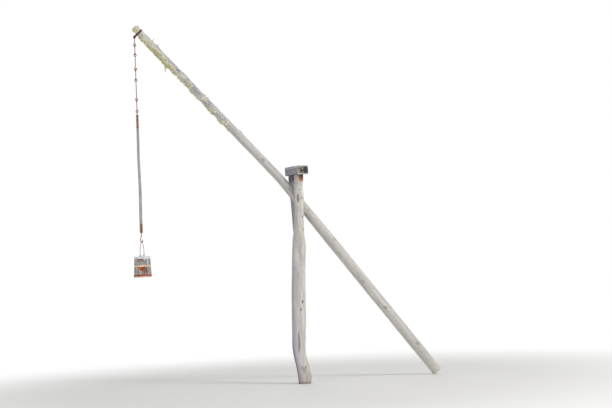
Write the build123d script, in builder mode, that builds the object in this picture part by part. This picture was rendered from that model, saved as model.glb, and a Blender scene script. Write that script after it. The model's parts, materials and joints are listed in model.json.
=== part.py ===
from build123d import *
import os
from math import cos, degrees, exp, radians, remainder, sin, sqrt

# A well sweep: a long pole balanced in the fork of a tree trunk, with a chain, a wooden rod and a
# coopered bucket hanging from its tip. Millimetres. X runs along the sweep with the tip at -X and
# the heavy butt at +X, Y runs along the axle, and Z is up. The origin is on the ground at the foot
# of the post.

# Post: a forked trunk with a crooked foot that has a groove up its front
axle_height = 3050.0
crotch_below_axle = 650.0
cap_above_axle = 404.0
trunk_radius = 117.0
trunk_sides = 24
prong_sides = 16
foot_step = 78.0
foot_groove_depth = 25.0
foot_groove_turn = -100.0
foot_groove_spread = 17.0
front_prong_radius = 82.0
rear_prong_radius = 64.0
front_prong_lean = -22.0
rear_prong_lean = -22.0
fork_side_gap = 18.0
scar_width = 30.0
scar_height = 150.0
scar_depth = 15.0
scar_side = -66.0

# Cap: a hewn block that ties the two prongs
cap_length = 625.0
cap_width = 198.0
cap_thickness = 148.0
cap_offset = 20.0
cap_back = 25.0
cap_rise_back = 2.5
cap_rise_right = 3.0
cap_edge = 9.0
tenon_width = 54.0
tenon_length = 85.0
tenon_clearance = 0.2
spike_width = 12.0
spike_length = 210.0
spike_head = 32.0
spike_head_thickness = 9.0
spike_head_chamfer = 3.0
spike_clearance = 0.1

# Axle: a wooden pin through both prongs
axle_radius = 17.0
axle_proud = 7.0
axle_chamfer = 2.0
axle_clearance = 0.08

# Sweep pole
butt_angle = 51.2
pole_bend = 4.95
bend_start = 220.0
bend_length = 400.0
tip_arm = 3855.0
tip_radius = 56.0
waist_radius = 73.0
butt_radius = 87.0
butt_clearance = 1.0
tip_taper = 0.8
butt_taper = 0.7
butt_swell = 0.3
pole_sides = 20
cheek_half = 66.0
cheek_length = 520.0
cheek_runout = 60.0

# Iron strap on the tip, with its two ears and bolt
strap_from_tip = 97.0
strap_width = 34.0
strap_thickness = 6.0
strap_clearance = 0.15
seat_depth = 2.0
ear_reach = 109.0
ear_gap = 16.0
bolt_radius = 7.0
bolt_clearance = 0.1
bolt_head = 24.0
bolt_head_thickness = 9.0
bolt_end = 4.0

# Chain of long forged links with an eye at each end, uneven as hand work is
link_pitches = (147.0, 147.0, 245.0, 164.0, 327.0, 175.0)
eye_radius = 18.0
eye_sides = 12
link_bar_radius = 6.0
shank_radius = 6.2
bar_sides = 8
bend_sides = 4
weld_depth = 2.0
hang_gap = 0.45

# Wooden rod with its irons
rod_length = 1883.0
rod_top_radius = 19.5
rod_bottom_radius = 25.0
rod_sides = 16
rod_eye_height = 56.0
rod_eye_root = 9.5
tang_length = 215.0
hook_tang_length = 140.0
tang_width = 26.0
tang_thickness = 3.5
tang_seat = 0.15
rivet_radius = 3.5
rivet_clearance = 0.1
rivet_head = 2.5
hook_drop = 140.0
hook_bar_radius = 6.5
hook_bowl_radius = 11.0
hook_neck = 73.5
hook_set = 38.5
hook_bend = 21.0
hook_point = 24.0
bowl_gap = 0.8

# Bail
bail_bar_radius = 4.5
bail_height = 223.0
bail_top_half = 34.0
bail_shoulder = 0.5
bail_bend = 45.0
bail_end = 5.0
bail_play = 2.0
bail_end_bend = 1.3

# Bucket: staves, bottom and three hoops, wider at its base
stave_count = 12
stave_flats = 3
bucket_height = 326.0
rim_radius = 125.0
base_radius = 141.0
stave_thickness = 14.0
stave_gap = 1.2
croze_height = 26.0
croze_depth = 5.0
bottom_thickness = 18.0
bottom_clearance = 0.3
hoop_thickness = 1.5
hoop_clearance = 0.15
top_hoop_width = 30.0
middle_hoop_width = 25.0
bottom_hoop_width = 34.0
top_hoop_drop = 6.0
middle_hoop_drop = 138.0
bottom_hoop_rise = 6.0
ear_width = 34.0
ear_thickness = 4.0
ear_rise = 18.0
ear_length = 84.0
ear_clearance = 0.15
ear_hole_clearance = 0.1

# How far a cut runs out past the piece that it opens
cut_past = 1.0

os.makedirs("parts", exist_ok=True)


def save(piece, name):
    piece.label = name
    export_step(piece, "parts/" + name + ".step")


def half_side(sides):
    """Turn that puts a flat of a regular outline, and not a corner, on its own axes."""
    return 180 / sides


def bar_chamfer(bar_radius):
    """Cut on each edge of a square bar that leaves eight equal sides."""
    return bar_radius * (2 - sqrt(2))


def mitres(route, across):
    """Plane and stretch of a bent bar's section at each corner, with each bend in a few flats.

    The route lies in a plane whose normal is across. A section's own X lies in that plane, and is
    the way that the mitre stretches it.
    """
    corners = [route @ 0]
    for edge in route.edges():
        flats = bend_sides if edge.geom_type == GeomType.CIRCLE else 1
        corners += [edge @ (step / flats) for step in range(1, flats + 1)]
    runs = [(end - start).normalized() for start, end in zip(corners, corners[1:])]
    sections = []
    for corner, before, after in zip(corners, runs[:1] + runs, runs + runs[-1:]):
        along = (before + after).normalized()
        plane = Plane(origin=corner, x_dir=across.cross(along), z_dir=along)
        sections.append((plane, 1 / along.dot(after)))
    return sections


def bar_outline(radius, stretch):
    """Corners of an eight-sided bar's section, stretched along X."""
    turns = [radians(360 * (side + 0.5) / bar_sides) for side in range(bar_sides)]
    return [(radius * stretch * cos(turn), radius * sin(turn)) for turn in turns]


# The pole's centre line, in the plane of the sweep

butt_direction = radians(-butt_angle)
tip_direction = radians(-(butt_angle - pole_bend))


def pole_frame(s):
    """Plane across the pole at the distance s from the axle, negative towards the tip."""
    turn_start, turn_end = -bend_start, -bend_start - bend_length
    steps = 24
    x, z = 0.0, axle_height
    step = s / steps
    for i in range(steps):
        middle = (i + 0.5) * step
        x += step * cos(pole_heading(middle, turn_start, turn_end))
        z += step * sin(pole_heading(middle, turn_start, turn_end))
    heading = pole_heading(s, turn_start, turn_end)
    return Plane(origin=(x, 0, z), x_dir=(0, 1, 0), z_dir=(cos(heading), 0, sin(heading)))


def pole_heading(s, turn_start, turn_end):
    share = min(1.0, max(0.0, (turn_start - s) / (turn_start - turn_end)))
    return butt_direction + share * (tip_direction - butt_direction)


def pole_radius(s):
    if s < 0:
        return waist_radius + (tip_radius - waist_radius) * (-s / tip_arm) ** tip_taper
    return waist_radius + (butt_radius - waist_radius) * min(1.0, s / (butt_swell * butt_arm)) ** butt_taper


butt_arm = (axle_height - butt_radius * cos(butt_direction) - butt_clearance) / sin(radians(butt_angle))

# Places that follow from the sizes above

crotch_height = axle_height - crotch_below_axle
cap_height = axle_height + cap_above_axle
prong_y = cheek_half + fork_side_gap
front_y = -(prong_y + front_prong_radius)
rear_y = prong_y + rear_prong_radius
cap_plane = Plane(origin=(cap_offset, cap_back, cap_height)).rotated((cap_rise_back, -cap_rise_right, 0))
cap_top = cap_plane.offset(cap_thickness)
tenon_places = [(-cap_offset, y - cap_back) for y in (front_y, rear_y)]

strap_plane = pole_frame(strap_from_tip - tip_arm)
seat_radius = pole_radius(strap_from_tip - tip_arm) - seat_depth
# Direction from the pole's axis down through the ears, square to the pole
down = Vector(-sin(tip_direction), 0, cos(tip_direction)) * -1
bolt_point = strap_plane.origin + down * ear_reach
hang_x, bolt_z = bolt_point.X, bolt_point.Z
plumb_axis = Axis((hang_x, 0, 0), (0, 0, 1))

# Forked trunk

fork_height = cap_height - crotch_height
axle_share = crotch_below_axle / fork_height
# The trunk's cross sections: how far it leans to the side, its height as a share of the crotch's,
# its radius as a share of the trunk's own, and how much of the foot's groove it has
trunk_sections = (
    (0.0, 0.0, 0.89, 0.5),
    (0.0, 0.055, 0.95, 1.0),
    (-0.36, 0.125, 0.92, 0.7),
    (-0.92, 0.20, 0.89, 0.2),
    (-1.0, 0.27, 0.95, 0.0),
    (-0.72, 0.44, 1.02, 0.0),
    (-0.56, 0.64, 0.98, 0.0),
    (-0.22, 0.85, 0.97, 0.0),
    (0.0, 0.94, 0.98, 0.0),
    (0.0, 0.99, 0.90, 0.0),
    (0.0, 1.04, 0.74, 0.0),
)
# Each prong's: its lean, its place along Y as a share of the prong's own, its height as a share of
# the way from the crotch to the cap, and its radius as a share of the prong's own
front_sections = (
    (0.5, 0.22, -0.23, 1.0),
    (0.6, 0.46, 0.0, 1.02),
    (1.3, 0.68, 0.14, 1.04),
    (1.4, 0.87, 0.30, 0.96),
    (1.2, 0.97, 0.46, 0.98),
    (1.0, 1.0, axle_share, 1.0),
    (1.1, 0.99, 0.79, 0.88),
    (0.6, 0.99, 0.93, 0.92),
    (0.5, 1.0, 1.10, 0.97),
)
rear_sections = (
    (-0.3, 0.24, -0.23, 1.02),
    (-0.6, 0.50, 0.0, 1.04),
    (-0.6, 0.72, 0.14, 1.0),
    (-0.5, 0.90, 0.30, 0.96),
    (0.1, 1.0, axle_share, 0.96),
    (0.8, 1.0, 0.88, 1.0),
    (0.9, 1.0, 1.10, 1.0),
)


def trunk_outline(radius, groove):
    """Corners of a cross section of the trunk, drawn in where the foot's groove runs."""
    corners = []
    for side in range(trunk_sides):
        turn = 360 * side / trunk_sides
        off = remainder(turn - foot_groove_turn, 360)
        reach = radius - groove * foot_groove_depth * exp(-(off / foot_groove_spread) ** 2)
        corners.append((reach * cos(radians(turn)), reach * sin(radians(turn))))
    return corners


with BuildPart() as trunk:
    for lean, height, width, groove in trunk_sections:
        with BuildSketch(Plane(origin=(lean * foot_step, 0, height * crotch_height))):
            with BuildLine():
                Polyline(*trunk_outline(width * trunk_radius, groove), close=True)
            make_face()
    loft(ruled=True)
    for side_lean, side_y, girth, sections in (
        (front_prong_lean, front_y, front_prong_radius, front_sections),
        (rear_prong_lean, rear_y, rear_prong_radius, rear_sections),
    ):
        for lean, place, height, width in sections:
            level = crotch_height + height * fork_height
            with BuildSketch(Plane(origin=(lean * side_lean, place * side_y, level))):
                RegularPolygon(width * girth, prong_sides, rotation=half_side(prong_sides))
        loft(ruled=True)
    split(bisect_by=cap_plane, keep=Keep.BOTTOM)
    with BuildSketch(cap_plane):
        with Locations(tenon_places):
            Rectangle(tenon_width, tenon_width)
    extrude(amount=tenon_length)
    with BuildSketch(cap_top):
        with Locations(tenon_places):
            Rectangle(spike_width + 2 * spike_clearance, spike_width + 2 * spike_clearance)
    extrude(amount=-(spike_length + spike_clearance), mode=Mode.SUBTRACT)
    with Locations((0, 0, axle_height)):
        Cylinder(axle_radius, 8 * trunk_radius, rotation=(90, 0, 0), mode=Mode.SUBTRACT)
    with BuildSketch(Plane.XZ.offset(front_prong_radius - front_y)):
        with Locations((scar_side, axle_height)):
            Ellipse(scar_width / 2, scar_height / 2)
    scar_offset = scar_side - front_prong_lean
    surface_depth = front_prong_radius - sqrt(front_prong_radius**2 - scar_offset**2)
    extrude(amount=-(surface_depth + scar_depth), mode=Mode.SUBTRACT)
save(trunk.part, "trunk")

axle_front = front_y - front_prong_radius - axle_proud
axle_back = rear_y + rear_prong_radius + axle_proud
with BuildPart() as axle_pin:
    with BuildSketch(Plane.XZ.offset(-axle_back)):
        with Locations((0, axle_height)):
            Circle(axle_radius)
    extrude(amount=axle_back - axle_front)
    chamfer(axle_pin.edges().filter_by(GeomType.CIRCLE), length=axle_chamfer)
save(axle_pin.part, "axle_pin")

# Cap block, with a mortise over each prong's tenon

with BuildPart() as cap:
    with BuildSketch(cap_plane):
        Rectangle(cap_width, cap_length)
    extrude(amount=cap_thickness)
    chamfer(cap.edges(), length=cap_edge)
    with BuildSketch(cap_plane):
        with Locations(tenon_places):
            Rectangle(tenon_width + 2 * tenon_clearance, tenon_width + 2 * tenon_clearance)
    extrude(amount=tenon_length + tenon_clearance, mode=Mode.SUBTRACT)
    with BuildSketch(cap_plane):
        with Locations(tenon_places):
            Rectangle(spike_width + 2 * spike_clearance, spike_width + 2 * spike_clearance)
    extrude(amount=cap_thickness + cut_past, mode=Mode.SUBTRACT)
save(cap.part, "cap")

for side, place in zip(("front", "rear"), tenon_places):
    with BuildPart() as spike:
        with BuildSketch(cap_top):
            with Locations(place):
                Rectangle(spike_head, spike_head)
        extrude(amount=spike_head_thickness)
        chamfer(spike.edges().group_by(Axis(cap_top.origin, cap_top.z_dir))[-1],
                length=spike_head_chamfer)
        with BuildSketch(cap_top):
            with Locations(place):
                Rectangle(spike_width, spike_width)
        extrude(amount=-spike_length)
    save(spike.part, "cap_spike_" + side)

# Sweep pole

turn_stations = [-bend_start - bend_length * share for share in (1.0, 0.67, 0.33, 0.0)]
pole_stations = [-tip_arm, -0.6 * tip_arm, -0.3 * tip_arm]
pole_stations += turn_stations
pole_stations += [0.0, butt_swell * butt_arm / 3, butt_swell * butt_arm, butt_arm]

with BuildPart() as pole:
    for s in pole_stations:
        with BuildSketch(pole_frame(s)):
            RegularPolygon(pole_radius(s), pole_sides, rotation=half_side(pole_sides))
    loft(ruled=True)
    cheek_plane = Plane(origin=(0, 0, axle_height), x_dir=(cos(butt_direction), 0, sin(butt_direction)),
                        z_dir=(-sin(butt_direction), 0, cos(butt_direction)))
    with BuildSketch(cheek_plane):
        for side in (-1, 1):
            with BuildLine():
                Polyline(
                    (-cheek_length / 2 - cheek_runout, side * 1.3 * butt_radius),
                    (-cheek_length / 2, side * cheek_half),
                    (cheek_length / 2, side * cheek_half),
                    (cheek_length / 2 + cheek_runout, side * 1.3 * butt_radius),
                    close=True,
                )
            make_face()
    extrude(amount=2 * butt_radius, both=True, mode=Mode.SUBTRACT)
    with Locations((0, 0, axle_height)):
        Cylinder(axle_radius + axle_clearance, 4 * butt_radius, rotation=(90, 0, 0), mode=Mode.SUBTRACT)
    with BuildSketch(strap_plane.offset(-strap_width / 2)):
        Circle(2 * tip_radius)
        RegularPolygon(seat_radius, pole_sides, rotation=half_side(pole_sides), mode=Mode.SUBTRACT)
    extrude(amount=strap_width, mode=Mode.SUBTRACT)
save(pole.part, "sweep_pole")

# Tip strap

ear_plane = Plane(origin=(strap_plane.origin.X, 0, strap_plane.origin.Z), x_dir=down, z_dir=(0, 1, 0))
ear_end = strap_width / 2
with BuildPart() as tip_strap:
    with BuildSketch(strap_plane.offset(-strap_width / 2)):
        RegularPolygon(seat_radius + strap_clearance + strap_thickness, pole_sides,
                       rotation=half_side(pole_sides))
    extrude(amount=strap_width)
    for side in (-1, 1):
        near = side * ear_gap / 2
        with BuildSketch(ear_plane.offset(near)):
            with Locations((ear_reach / 2, 0)):
                Rectangle(ear_reach, strap_width)
            with Locations((ear_reach, 0)):
                Circle(ear_end)
        extrude(amount=side * strap_thickness)
    with BuildSketch(strap_plane.offset(-strap_width)):
        RegularPolygon(seat_radius + strap_clearance, pole_sides, rotation=half_side(pole_sides))
    extrude(amount=2 * strap_width, mode=Mode.SUBTRACT)
    with Locations(bolt_point):
        Cylinder(bolt_radius + bolt_clearance, 4 * ear_gap, rotation=(90, 0, 0), mode=Mode.SUBTRACT)
save(tip_strap.part, "tip_strap")

ear_out = ear_gap / 2 + strap_thickness
bolt_plane = Plane(origin=bolt_point, x_dir=(1, 0, 0), z_dir=(0, 1, 0))
with BuildPart() as strap_bolt:
    with BuildSketch(bolt_plane.offset(-ear_out)):
        Circle(bolt_radius)
    extrude(amount=2 * ear_out + bolt_head_thickness + bolt_end)
    with BuildSketch(bolt_plane.offset(-ear_out)):
        Rectangle(bolt_head, bolt_head)
    extrude(amount=-bolt_head_thickness)
save(strap_bolt.part, "strap_bolt")

with BuildPart() as strap_nut:
    with BuildSketch(bolt_plane.offset(ear_out)):
        Rectangle(bolt_head, bolt_head)
        Circle(bolt_radius + bolt_clearance, mode=Mode.SUBTRACT)
    extrude(amount=bolt_head_thickness)
save(strap_nut.part, "strap_nut")

# Chain

hang_section = Plane(origin=(hang_x, 0, 0), x_dir=(1, 0, 0), z_dir=(0, -1, 0))
eye_inner = eye_radius - link_bar_radius
hook_over = 2 * eye_inner - hang_gap
link_top = bolt_z - (eye_inner - bolt_radius - hang_gap)
for number, pitch in enumerate(link_pitches, start=1):
    link_bottom = link_top - (pitch - hook_over)
    with BuildPart() as link:
        with BuildSketch(hang_section.offset(-link_bar_radius)):
            with Locations((0, link_top), (0, link_bottom)):
                for reach, mode in ((eye_radius + link_bar_radius, Mode.ADD), (eye_inner, Mode.SUBTRACT)):
                    RegularPolygon(reach, eye_sides, major_radius=False, rotation=half_side(eye_sides),
                                   mode=mode)
        extrude(amount=2 * link_bar_radius)
        chamfer(link.faces().filter_by(Axis.Y).edges(), length=bar_chamfer(link_bar_radius))
        with BuildSketch(Plane(origin=(hang_x, 0, link_bottom + eye_radius - weld_depth))):
            RegularPolygon(shank_radius, bar_sides, major_radius=False, rotation=half_side(bar_sides))
        extrude(amount=link_top - link_bottom - 2 * (eye_radius - weld_depth))
    # Every second link hangs a quarter turn round from the one above it
    quarter_turn = 0 if number % 2 else 90
    save(link.part.rotate(plumb_axis, quarter_turn), "chain_link_" + str(number))
    link_top = link_bottom - hook_over
rod_pivot_z = link_bottom - eye_radius
rod_ring_z = link_top

# Wooden rod, with flats at its ends for the tangs of its irons

rod_top = rod_ring_z - rod_eye_height
rod_bottom = rod_top - rod_length
rod_axis = Plane(origin=(hang_x, 0, 0))


def rod_radius(z):
    return rod_top_radius + (rod_bottom_radius - rod_top_radius) * (rod_top - z) / rod_length


def tang_half(z):
    """Half the width of the rod between the flats that its iron's tangs lie on."""
    return rod_radius(z) - tang_thickness / 2


top_flat = tang_half(rod_top - tang_length)
bottom_flat = tang_half(rod_bottom)
rivet_drops = (0.25, 0.55, 0.85)
eye_rivet_heights = [rod_top - drop * tang_length for drop in rivet_drops]
hook_rivet_heights = [rod_bottom + drop * hook_tang_length for drop in rivet_drops]

with BuildPart() as rod:
    for z in (rod_top, rod_bottom):
        with BuildSketch(rod_axis.offset(z)):
            RegularPolygon(rod_radius(z), rod_sides, rotation=half_side(rod_sides))
    loft(ruled=True)
    for half, low, high in ((top_flat, rod_top - tang_length - cut_past, rod_top + cut_past),
                            (bottom_flat, rod_bottom - cut_past, rod_bottom + hook_tang_length + cut_past)):
        with BuildSketch(rod_axis.offset(low)):
            for side in (-1, 1):
                with Locations((0, side * (half + rod_bottom_radius))):
                    Rectangle(4 * rod_bottom_radius, 2 * rod_bottom_radius)
        extrude(amount=high - low, mode=Mode.SUBTRACT)
    with BuildSketch(hang_section):
        with Locations([(0, z) for z in eye_rivet_heights + hook_rivet_heights]):
            RegularPolygon(rivet_radius + rivet_clearance, bar_sides)
    extrude(amount=2 * rod_bottom_radius, both=True, mode=Mode.SUBTRACT)
save(rod.part, "rod")


def tangs(half, start, end):
    """Two straps on the rod's flats, joined over its end by a shoulder."""
    seat = half + tang_seat
    length = abs(end - start)
    low = min(start, end)
    for side in (-1, 1):
        with Locations((hang_x, side * (seat + tang_thickness / 2), low + length / 2)):
            Box(tang_width, tang_thickness, length)
    toward = 1 if start > end else -1
    with Locations((hang_x, 0, start + toward * tang_thickness / 2)):
        Box(tang_width, 2 * (seat + tang_thickness), tang_thickness)


with BuildPart() as rod_eye:
    with BuildSketch(hang_section.offset(-link_bar_radius)):
        with Locations((0, rod_ring_z)):
            for reach, mode in ((eye_radius + link_bar_radius, Mode.ADD), (eye_inner, Mode.SUBTRACT)):
                RegularPolygon(reach, eye_sides, major_radius=False, rotation=half_side(eye_sides),
                               mode=mode)
    extrude(amount=2 * link_bar_radius)
    chamfer(rod_eye.faces().filter_by(Axis.Y).edges(), length=bar_chamfer(link_bar_radius))
    for z, girth in ((rod_top + tang_seat, rod_eye_root), (rod_ring_z - eye_radius, shank_radius)):
        with BuildSketch(rod_axis.offset(z)):
            RegularPolygon(girth, bar_sides, rotation=half_side(bar_sides))
    loft(ruled=True)
    tangs(top_flat, rod_top + tang_seat, rod_top - tang_length)
    with BuildSketch(hang_section):
        with Locations([(0, z) for z in eye_rivet_heights]):
            RegularPolygon(rivet_radius + rivet_clearance, bar_sides)
    extrude(amount=2 * rod_bottom_radius, both=True, mode=Mode.SUBTRACT)
save(rod_eye.part, "rod_eye")

bail_top_z = rod_bottom - hook_drop
hook_radius = hook_bowl_radius + hook_bar_radius
bowl_z = bail_top_z + hook_bowl_radius - bail_bar_radius - bowl_gap
shank_top = rod_bottom - tang_seat - bowl_z
with BuildLine(Plane(origin=(hang_x, 0, bowl_z), x_dir=(1, 0, 0), z_dir=(0, -1, 0))) as hook_route:
    FilletPolyline(
        (0, shank_top),
        (0, hook_neck),
        (-hook_radius, hook_set),
        (-hook_radius, 0),
        radius=hook_bend,
    )
    ThreePointArc((-hook_radius, 0), (0, -hook_radius), (hook_radius, 0))
    Line((hook_radius, 0), (hook_radius, hook_point))
with BuildPart() as rod_hook:
    for plane, stretch in mitres(hook_route.wire(), Vector(0, 1, 0)):
        with BuildSketch(plane):
            with BuildLine():
                Polyline(*bar_outline(hook_bar_radius, stretch), close=True)
            make_face()
    loft(ruled=True)
    tangs(bottom_flat, rod_bottom - tang_seat, rod_bottom + hook_tang_length)
    with BuildSketch(hang_section):
        with Locations([(0, z) for z in hook_rivet_heights]):
            RegularPolygon(rivet_radius + rivet_clearance, bar_sides)
    extrude(amount=2 * rod_bottom_radius, both=True, mode=Mode.SUBTRACT)
save(rod_hook.part, "rod_hook")

for name, half, heights in (("eye_rivets", top_flat, eye_rivet_heights),
                            ("hook_rivets", bottom_flat, hook_rivet_heights)):
    reach = half + tang_seat + tang_thickness
    with BuildPart() as rivets:
        with BuildSketch(hang_section):
            with Locations([(0, z) for z in heights]):
                RegularPolygon(rivet_radius, bar_sides)
        extrude(amount=reach, both=True)
        for side in (-1, 1):
            with BuildSketch(hang_section.offset(side * reach)):
                with Locations([(0, z) for z in heights]):
                    RegularPolygon(2 * rivet_radius, bar_sides)
            extrude(amount=side * rivet_head)
    save(rivets.part, name)

# Bucket

ear_pivot_z = bail_top_z - bail_height
rim_z = ear_pivot_z - ear_rise
base_z = rim_z - bucket_height
slope = (base_radius - rim_radius) / bucket_height
bucket_sides = stave_count * stave_flats


def wall_radius(z):
    """Distance from the bucket's axis to the outer flats of the staves at the height z."""
    return rim_radius + (rim_z - z) * slope


croze_low = base_z + croze_height
croze_high = croze_low + bottom_thickness
stave_turn = 360 / stave_count
stave_half = stave_turn / 2 - degrees(stave_gap / base_radius) / 2

# The whole wall first: outside, inside, and the croze that the bottom sits in
with BuildPart() as wall:
    for inset, low, high, mode in (
        (0, base_z, rim_z, Mode.ADD),
        (stave_thickness, base_z - cut_past, rim_z + cut_past, Mode.SUBTRACT),
        (stave_thickness - croze_depth, croze_low, croze_high, Mode.SUBTRACT),
    ):
        for z in (low, high):
            with BuildSketch(rod_axis.offset(z)):
                RegularPolygon(wall_radius(z) - inset, bucket_sides, major_radius=False,
                               rotation=half_side(bucket_sides))
        loft(ruled=True, mode=mode)

for number in range(1, stave_count + 1):
    with BuildPart() as stave:
        add(wall.part)
        with BuildSketch(rod_axis.offset(base_z)):
            with BuildLine():
                turns = [radians(number * stave_turn + side * stave_half) for side in (-1, 1)]
                edges = [(2 * base_radius * cos(turn), 2 * base_radius * sin(turn)) for turn in turns]
                Polyline((0, 0), *edges, close=True)
            make_face()
        extrude(amount=bucket_height, mode=Mode.INTERSECT)
    save(stave.part, "stave_{:02d}".format(number))

with BuildPart() as bucket_bottom:
    for z in (croze_low + bottom_clearance, croze_high - bottom_clearance):
        with BuildSketch(rod_axis.offset(z)):
            RegularPolygon(wall_radius(z) - stave_thickness + croze_depth - bottom_clearance, bucket_sides,
                           major_radius=False, rotation=half_side(bucket_sides))
    loft(ruled=True)
save(bucket_bottom.part, "bucket_bottom")

top_hoop_high = rim_z - top_hoop_drop
middle_hoop_high = rim_z - middle_hoop_drop
bottom_hoop_high = base_z + bottom_hoop_rise + bottom_hoop_width
for name, high, width in (("top_hoop", top_hoop_high, top_hoop_width),
                          ("middle_hoop", middle_hoop_high, middle_hoop_width),
                          ("bottom_hoop", bottom_hoop_high, bottom_hoop_width)):
    with BuildPart() as hoop:
        for stand_off, past, mode in ((hoop_clearance + hoop_thickness, 0, Mode.ADD),
                                      (hoop_clearance, cut_past, Mode.SUBTRACT)):
            for z in (high - width - past, high + past):
                with BuildSketch(rod_axis.offset(z)):
                    RegularPolygon(wall_radius(z) + stand_off, bucket_sides, major_radius=False,
                                   rotation=half_side(bucket_sides))
            loft(ruled=True, mode=mode)
    save(hoop.part, name)

# Ears for the bail, riveted over the top hoop and seated on whatever stands out furthest there

ear_low = rim_z - ear_length + ear_rise
hoop_low_radius = wall_radius(top_hoop_high - top_hoop_width) + hoop_clearance + hoop_thickness
ear_y = max(hoop_low_radius, wall_radius(ear_low)) + ear_clearance
for place, side in (("front", -1), ("rear", 1)):
    with BuildPart() as ear:
        with BuildSketch(Plane(origin=(hang_x, side * ear_y, 0), x_dir=(1, 0, 0), z_dir=(0, side, 0))):
            up = -side
            with Locations((0, up * (ear_low + ear_pivot_z) / 2)):
                Rectangle(ear_width, ear_pivot_z - ear_low)
            with Locations((0, up * ear_pivot_z)):
                Circle(ear_width / 2)
                Circle(bail_bar_radius + ear_hole_clearance, mode=Mode.SUBTRACT)
        extrude(amount=ear_thickness)
    save(ear.part, "ear_" + place)

# Bail: a bent bar with its ends turned in through the ears

leg_y = ear_y + ear_thickness + bail_play + bail_bar_radius
in_y = ear_y - bail_end
end_bend = bail_end_bend * bail_bar_radius
with BuildLine(Plane(origin=(hang_x, 0, ear_pivot_z), x_dir=(0, 1, 0), z_dir=(1, 0, 0))) as bail_route:
    FilletPolyline(
        (-in_y, 0),
        (-leg_y, 0),
        (-leg_y, bail_height * bail_shoulder),
        (-bail_top_half, bail_height),
        (bail_top_half, bail_height),
        (leg_y, bail_height * bail_shoulder),
        (leg_y, 0),
        (in_y, 0),
        radius=[end_bend, bail_bend, bail_bend, bail_bend, bail_bend, end_bend],
    )
with BuildPart() as bail:
    for plane, stretch in mitres(bail_route.wire(), Vector(1, 0, 0)):
        with BuildSketch(plane):
            with BuildLine():
                Polyline(*bar_outline(bail_bar_radius, stretch), close=True)
            make_face()
    loft(ruled=True)
save(bail.part, "bail")

for name, place in (("axle", (0, 0, axle_height)), ("bolt", (hang_x, 0, bolt_z)),
                    ("rod eye", (hang_x, 0, rod_pivot_z)), ("bail top", (hang_x, 0, bail_top_z)),
                    ("ears", (hang_x, 0, ear_pivot_z)), ("rim", (hang_x, 0, rim_z)),
                    ("base", (hang_x, 0, base_z))):
    print(name, [round(value, 3) for value in place])
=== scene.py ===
import json
import math

import bmesh
import bpy
import numpy as np
from mathutils import Matrix, Vector


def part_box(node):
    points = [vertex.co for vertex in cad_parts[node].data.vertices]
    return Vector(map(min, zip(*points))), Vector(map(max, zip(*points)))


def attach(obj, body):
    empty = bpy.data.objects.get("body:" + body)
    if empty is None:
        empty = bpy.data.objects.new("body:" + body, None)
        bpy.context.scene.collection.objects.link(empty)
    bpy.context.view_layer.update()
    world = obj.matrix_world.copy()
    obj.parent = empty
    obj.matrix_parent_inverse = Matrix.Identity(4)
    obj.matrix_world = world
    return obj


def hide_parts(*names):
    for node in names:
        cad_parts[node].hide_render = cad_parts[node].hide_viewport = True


bl_info = {
    "name": "Well sweep",
    "version": (1, 0, 0),
    "blender": (4, 5, 0),
    "location": "3D View > Sidebar > Well sweep",
    "description": "Dresses a well sweep with weathered wood, lichen, forged iron and a coopered bucket",
    "category": "Object",
}

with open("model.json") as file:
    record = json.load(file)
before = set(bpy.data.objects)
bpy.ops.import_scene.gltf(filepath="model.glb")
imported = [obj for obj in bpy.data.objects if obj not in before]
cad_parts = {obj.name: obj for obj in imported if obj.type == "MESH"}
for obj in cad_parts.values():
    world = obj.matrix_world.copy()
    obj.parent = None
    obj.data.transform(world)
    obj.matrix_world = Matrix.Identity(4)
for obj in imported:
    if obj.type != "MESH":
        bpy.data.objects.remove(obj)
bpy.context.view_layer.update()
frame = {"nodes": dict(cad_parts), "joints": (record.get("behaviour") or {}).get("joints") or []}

# Places that the frame gives

pivots = {joint["name"]: Vector(joint["pos_m"]) for joint in frame["joints"]}
AXLE = pivots["sweep_pivot"]
BOLT = pivots["chain_swing"]
UP = Vector((0, 0, 1))
CAP_LOW, CAP_HIGH = (corner.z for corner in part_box("cap"))
CAP_MIDDLE = (CAP_LOW + CAP_HIGH) / 2
BASE_Z, RIM_Z = (corner.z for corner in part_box("stave_01"))
HOOP_LOWS = [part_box(node)[0].z for node in ("top_hoop", "middle_hoop", "bottom_hoop")]
STAVES = sum(node.startswith("stave_") for node in frame["nodes"])
LINKS = sum(node.startswith("chain_link_") for node in frame["nodes"])

# Marks on the post

# Knots of the trunk: x, z, radius, and the share at which their height counts
TRUNK_KNOTS = (
    (0.004, 2.75, 0.009, 0.6),
    (-0.02, 1.35, 0.013, 0.6),
    (-0.055, 1.22, 0.010, 0.5),
    (-0.112, 0.77, 0.007, 0.12),
    (-0.115, 0.61, 0.006, 0.10),
    (-0.098, 0.66, 0.004, 0.06),
)
# The scar on the front prong, and the rust that runs down under the cap, darkened at its top as painted
# shadow of the cap
SCAR = Vector((-0.066, -0.225, AXLE.z))
RUST_RUN = (0.014, -0.225, CAP_LOW - 0.01)
# The fold in the front of the foot, and the side of the foot that gets painted shade
FOLD_X = -0.028
FOLD_LOW = 0.185
FOLD_TOP = 0.31
SHADE_TURN = math.radians(20)
SHADE_SIDE = (-math.cos(SHADE_TURN), math.sin(SHADE_TURN), 0.0)
# The cap's slope along Y, and the heart of its end grain
CAP_SLOPE = 0.044
CAP_HEART = (0.045, 0.0, CAP_MIDDLE - 0.02)

# Marks on the bucket

# The rust patch under the middle hoop, and the mark under the top one
PATCH_TURN = math.radians(-115)
PATCH_REACH = 0.133
RUST_PATCH, HOOP_MARK = (
    (BOLT.x + PATCH_REACH * math.cos(PATCH_TURN), PATCH_REACH * math.sin(PATCH_TURN), z)
    for z in (HOOP_LOWS[1] - 0.032, HOOP_LOWS[0] - 0.006)
)

# Branch stubs of the pole

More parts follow.
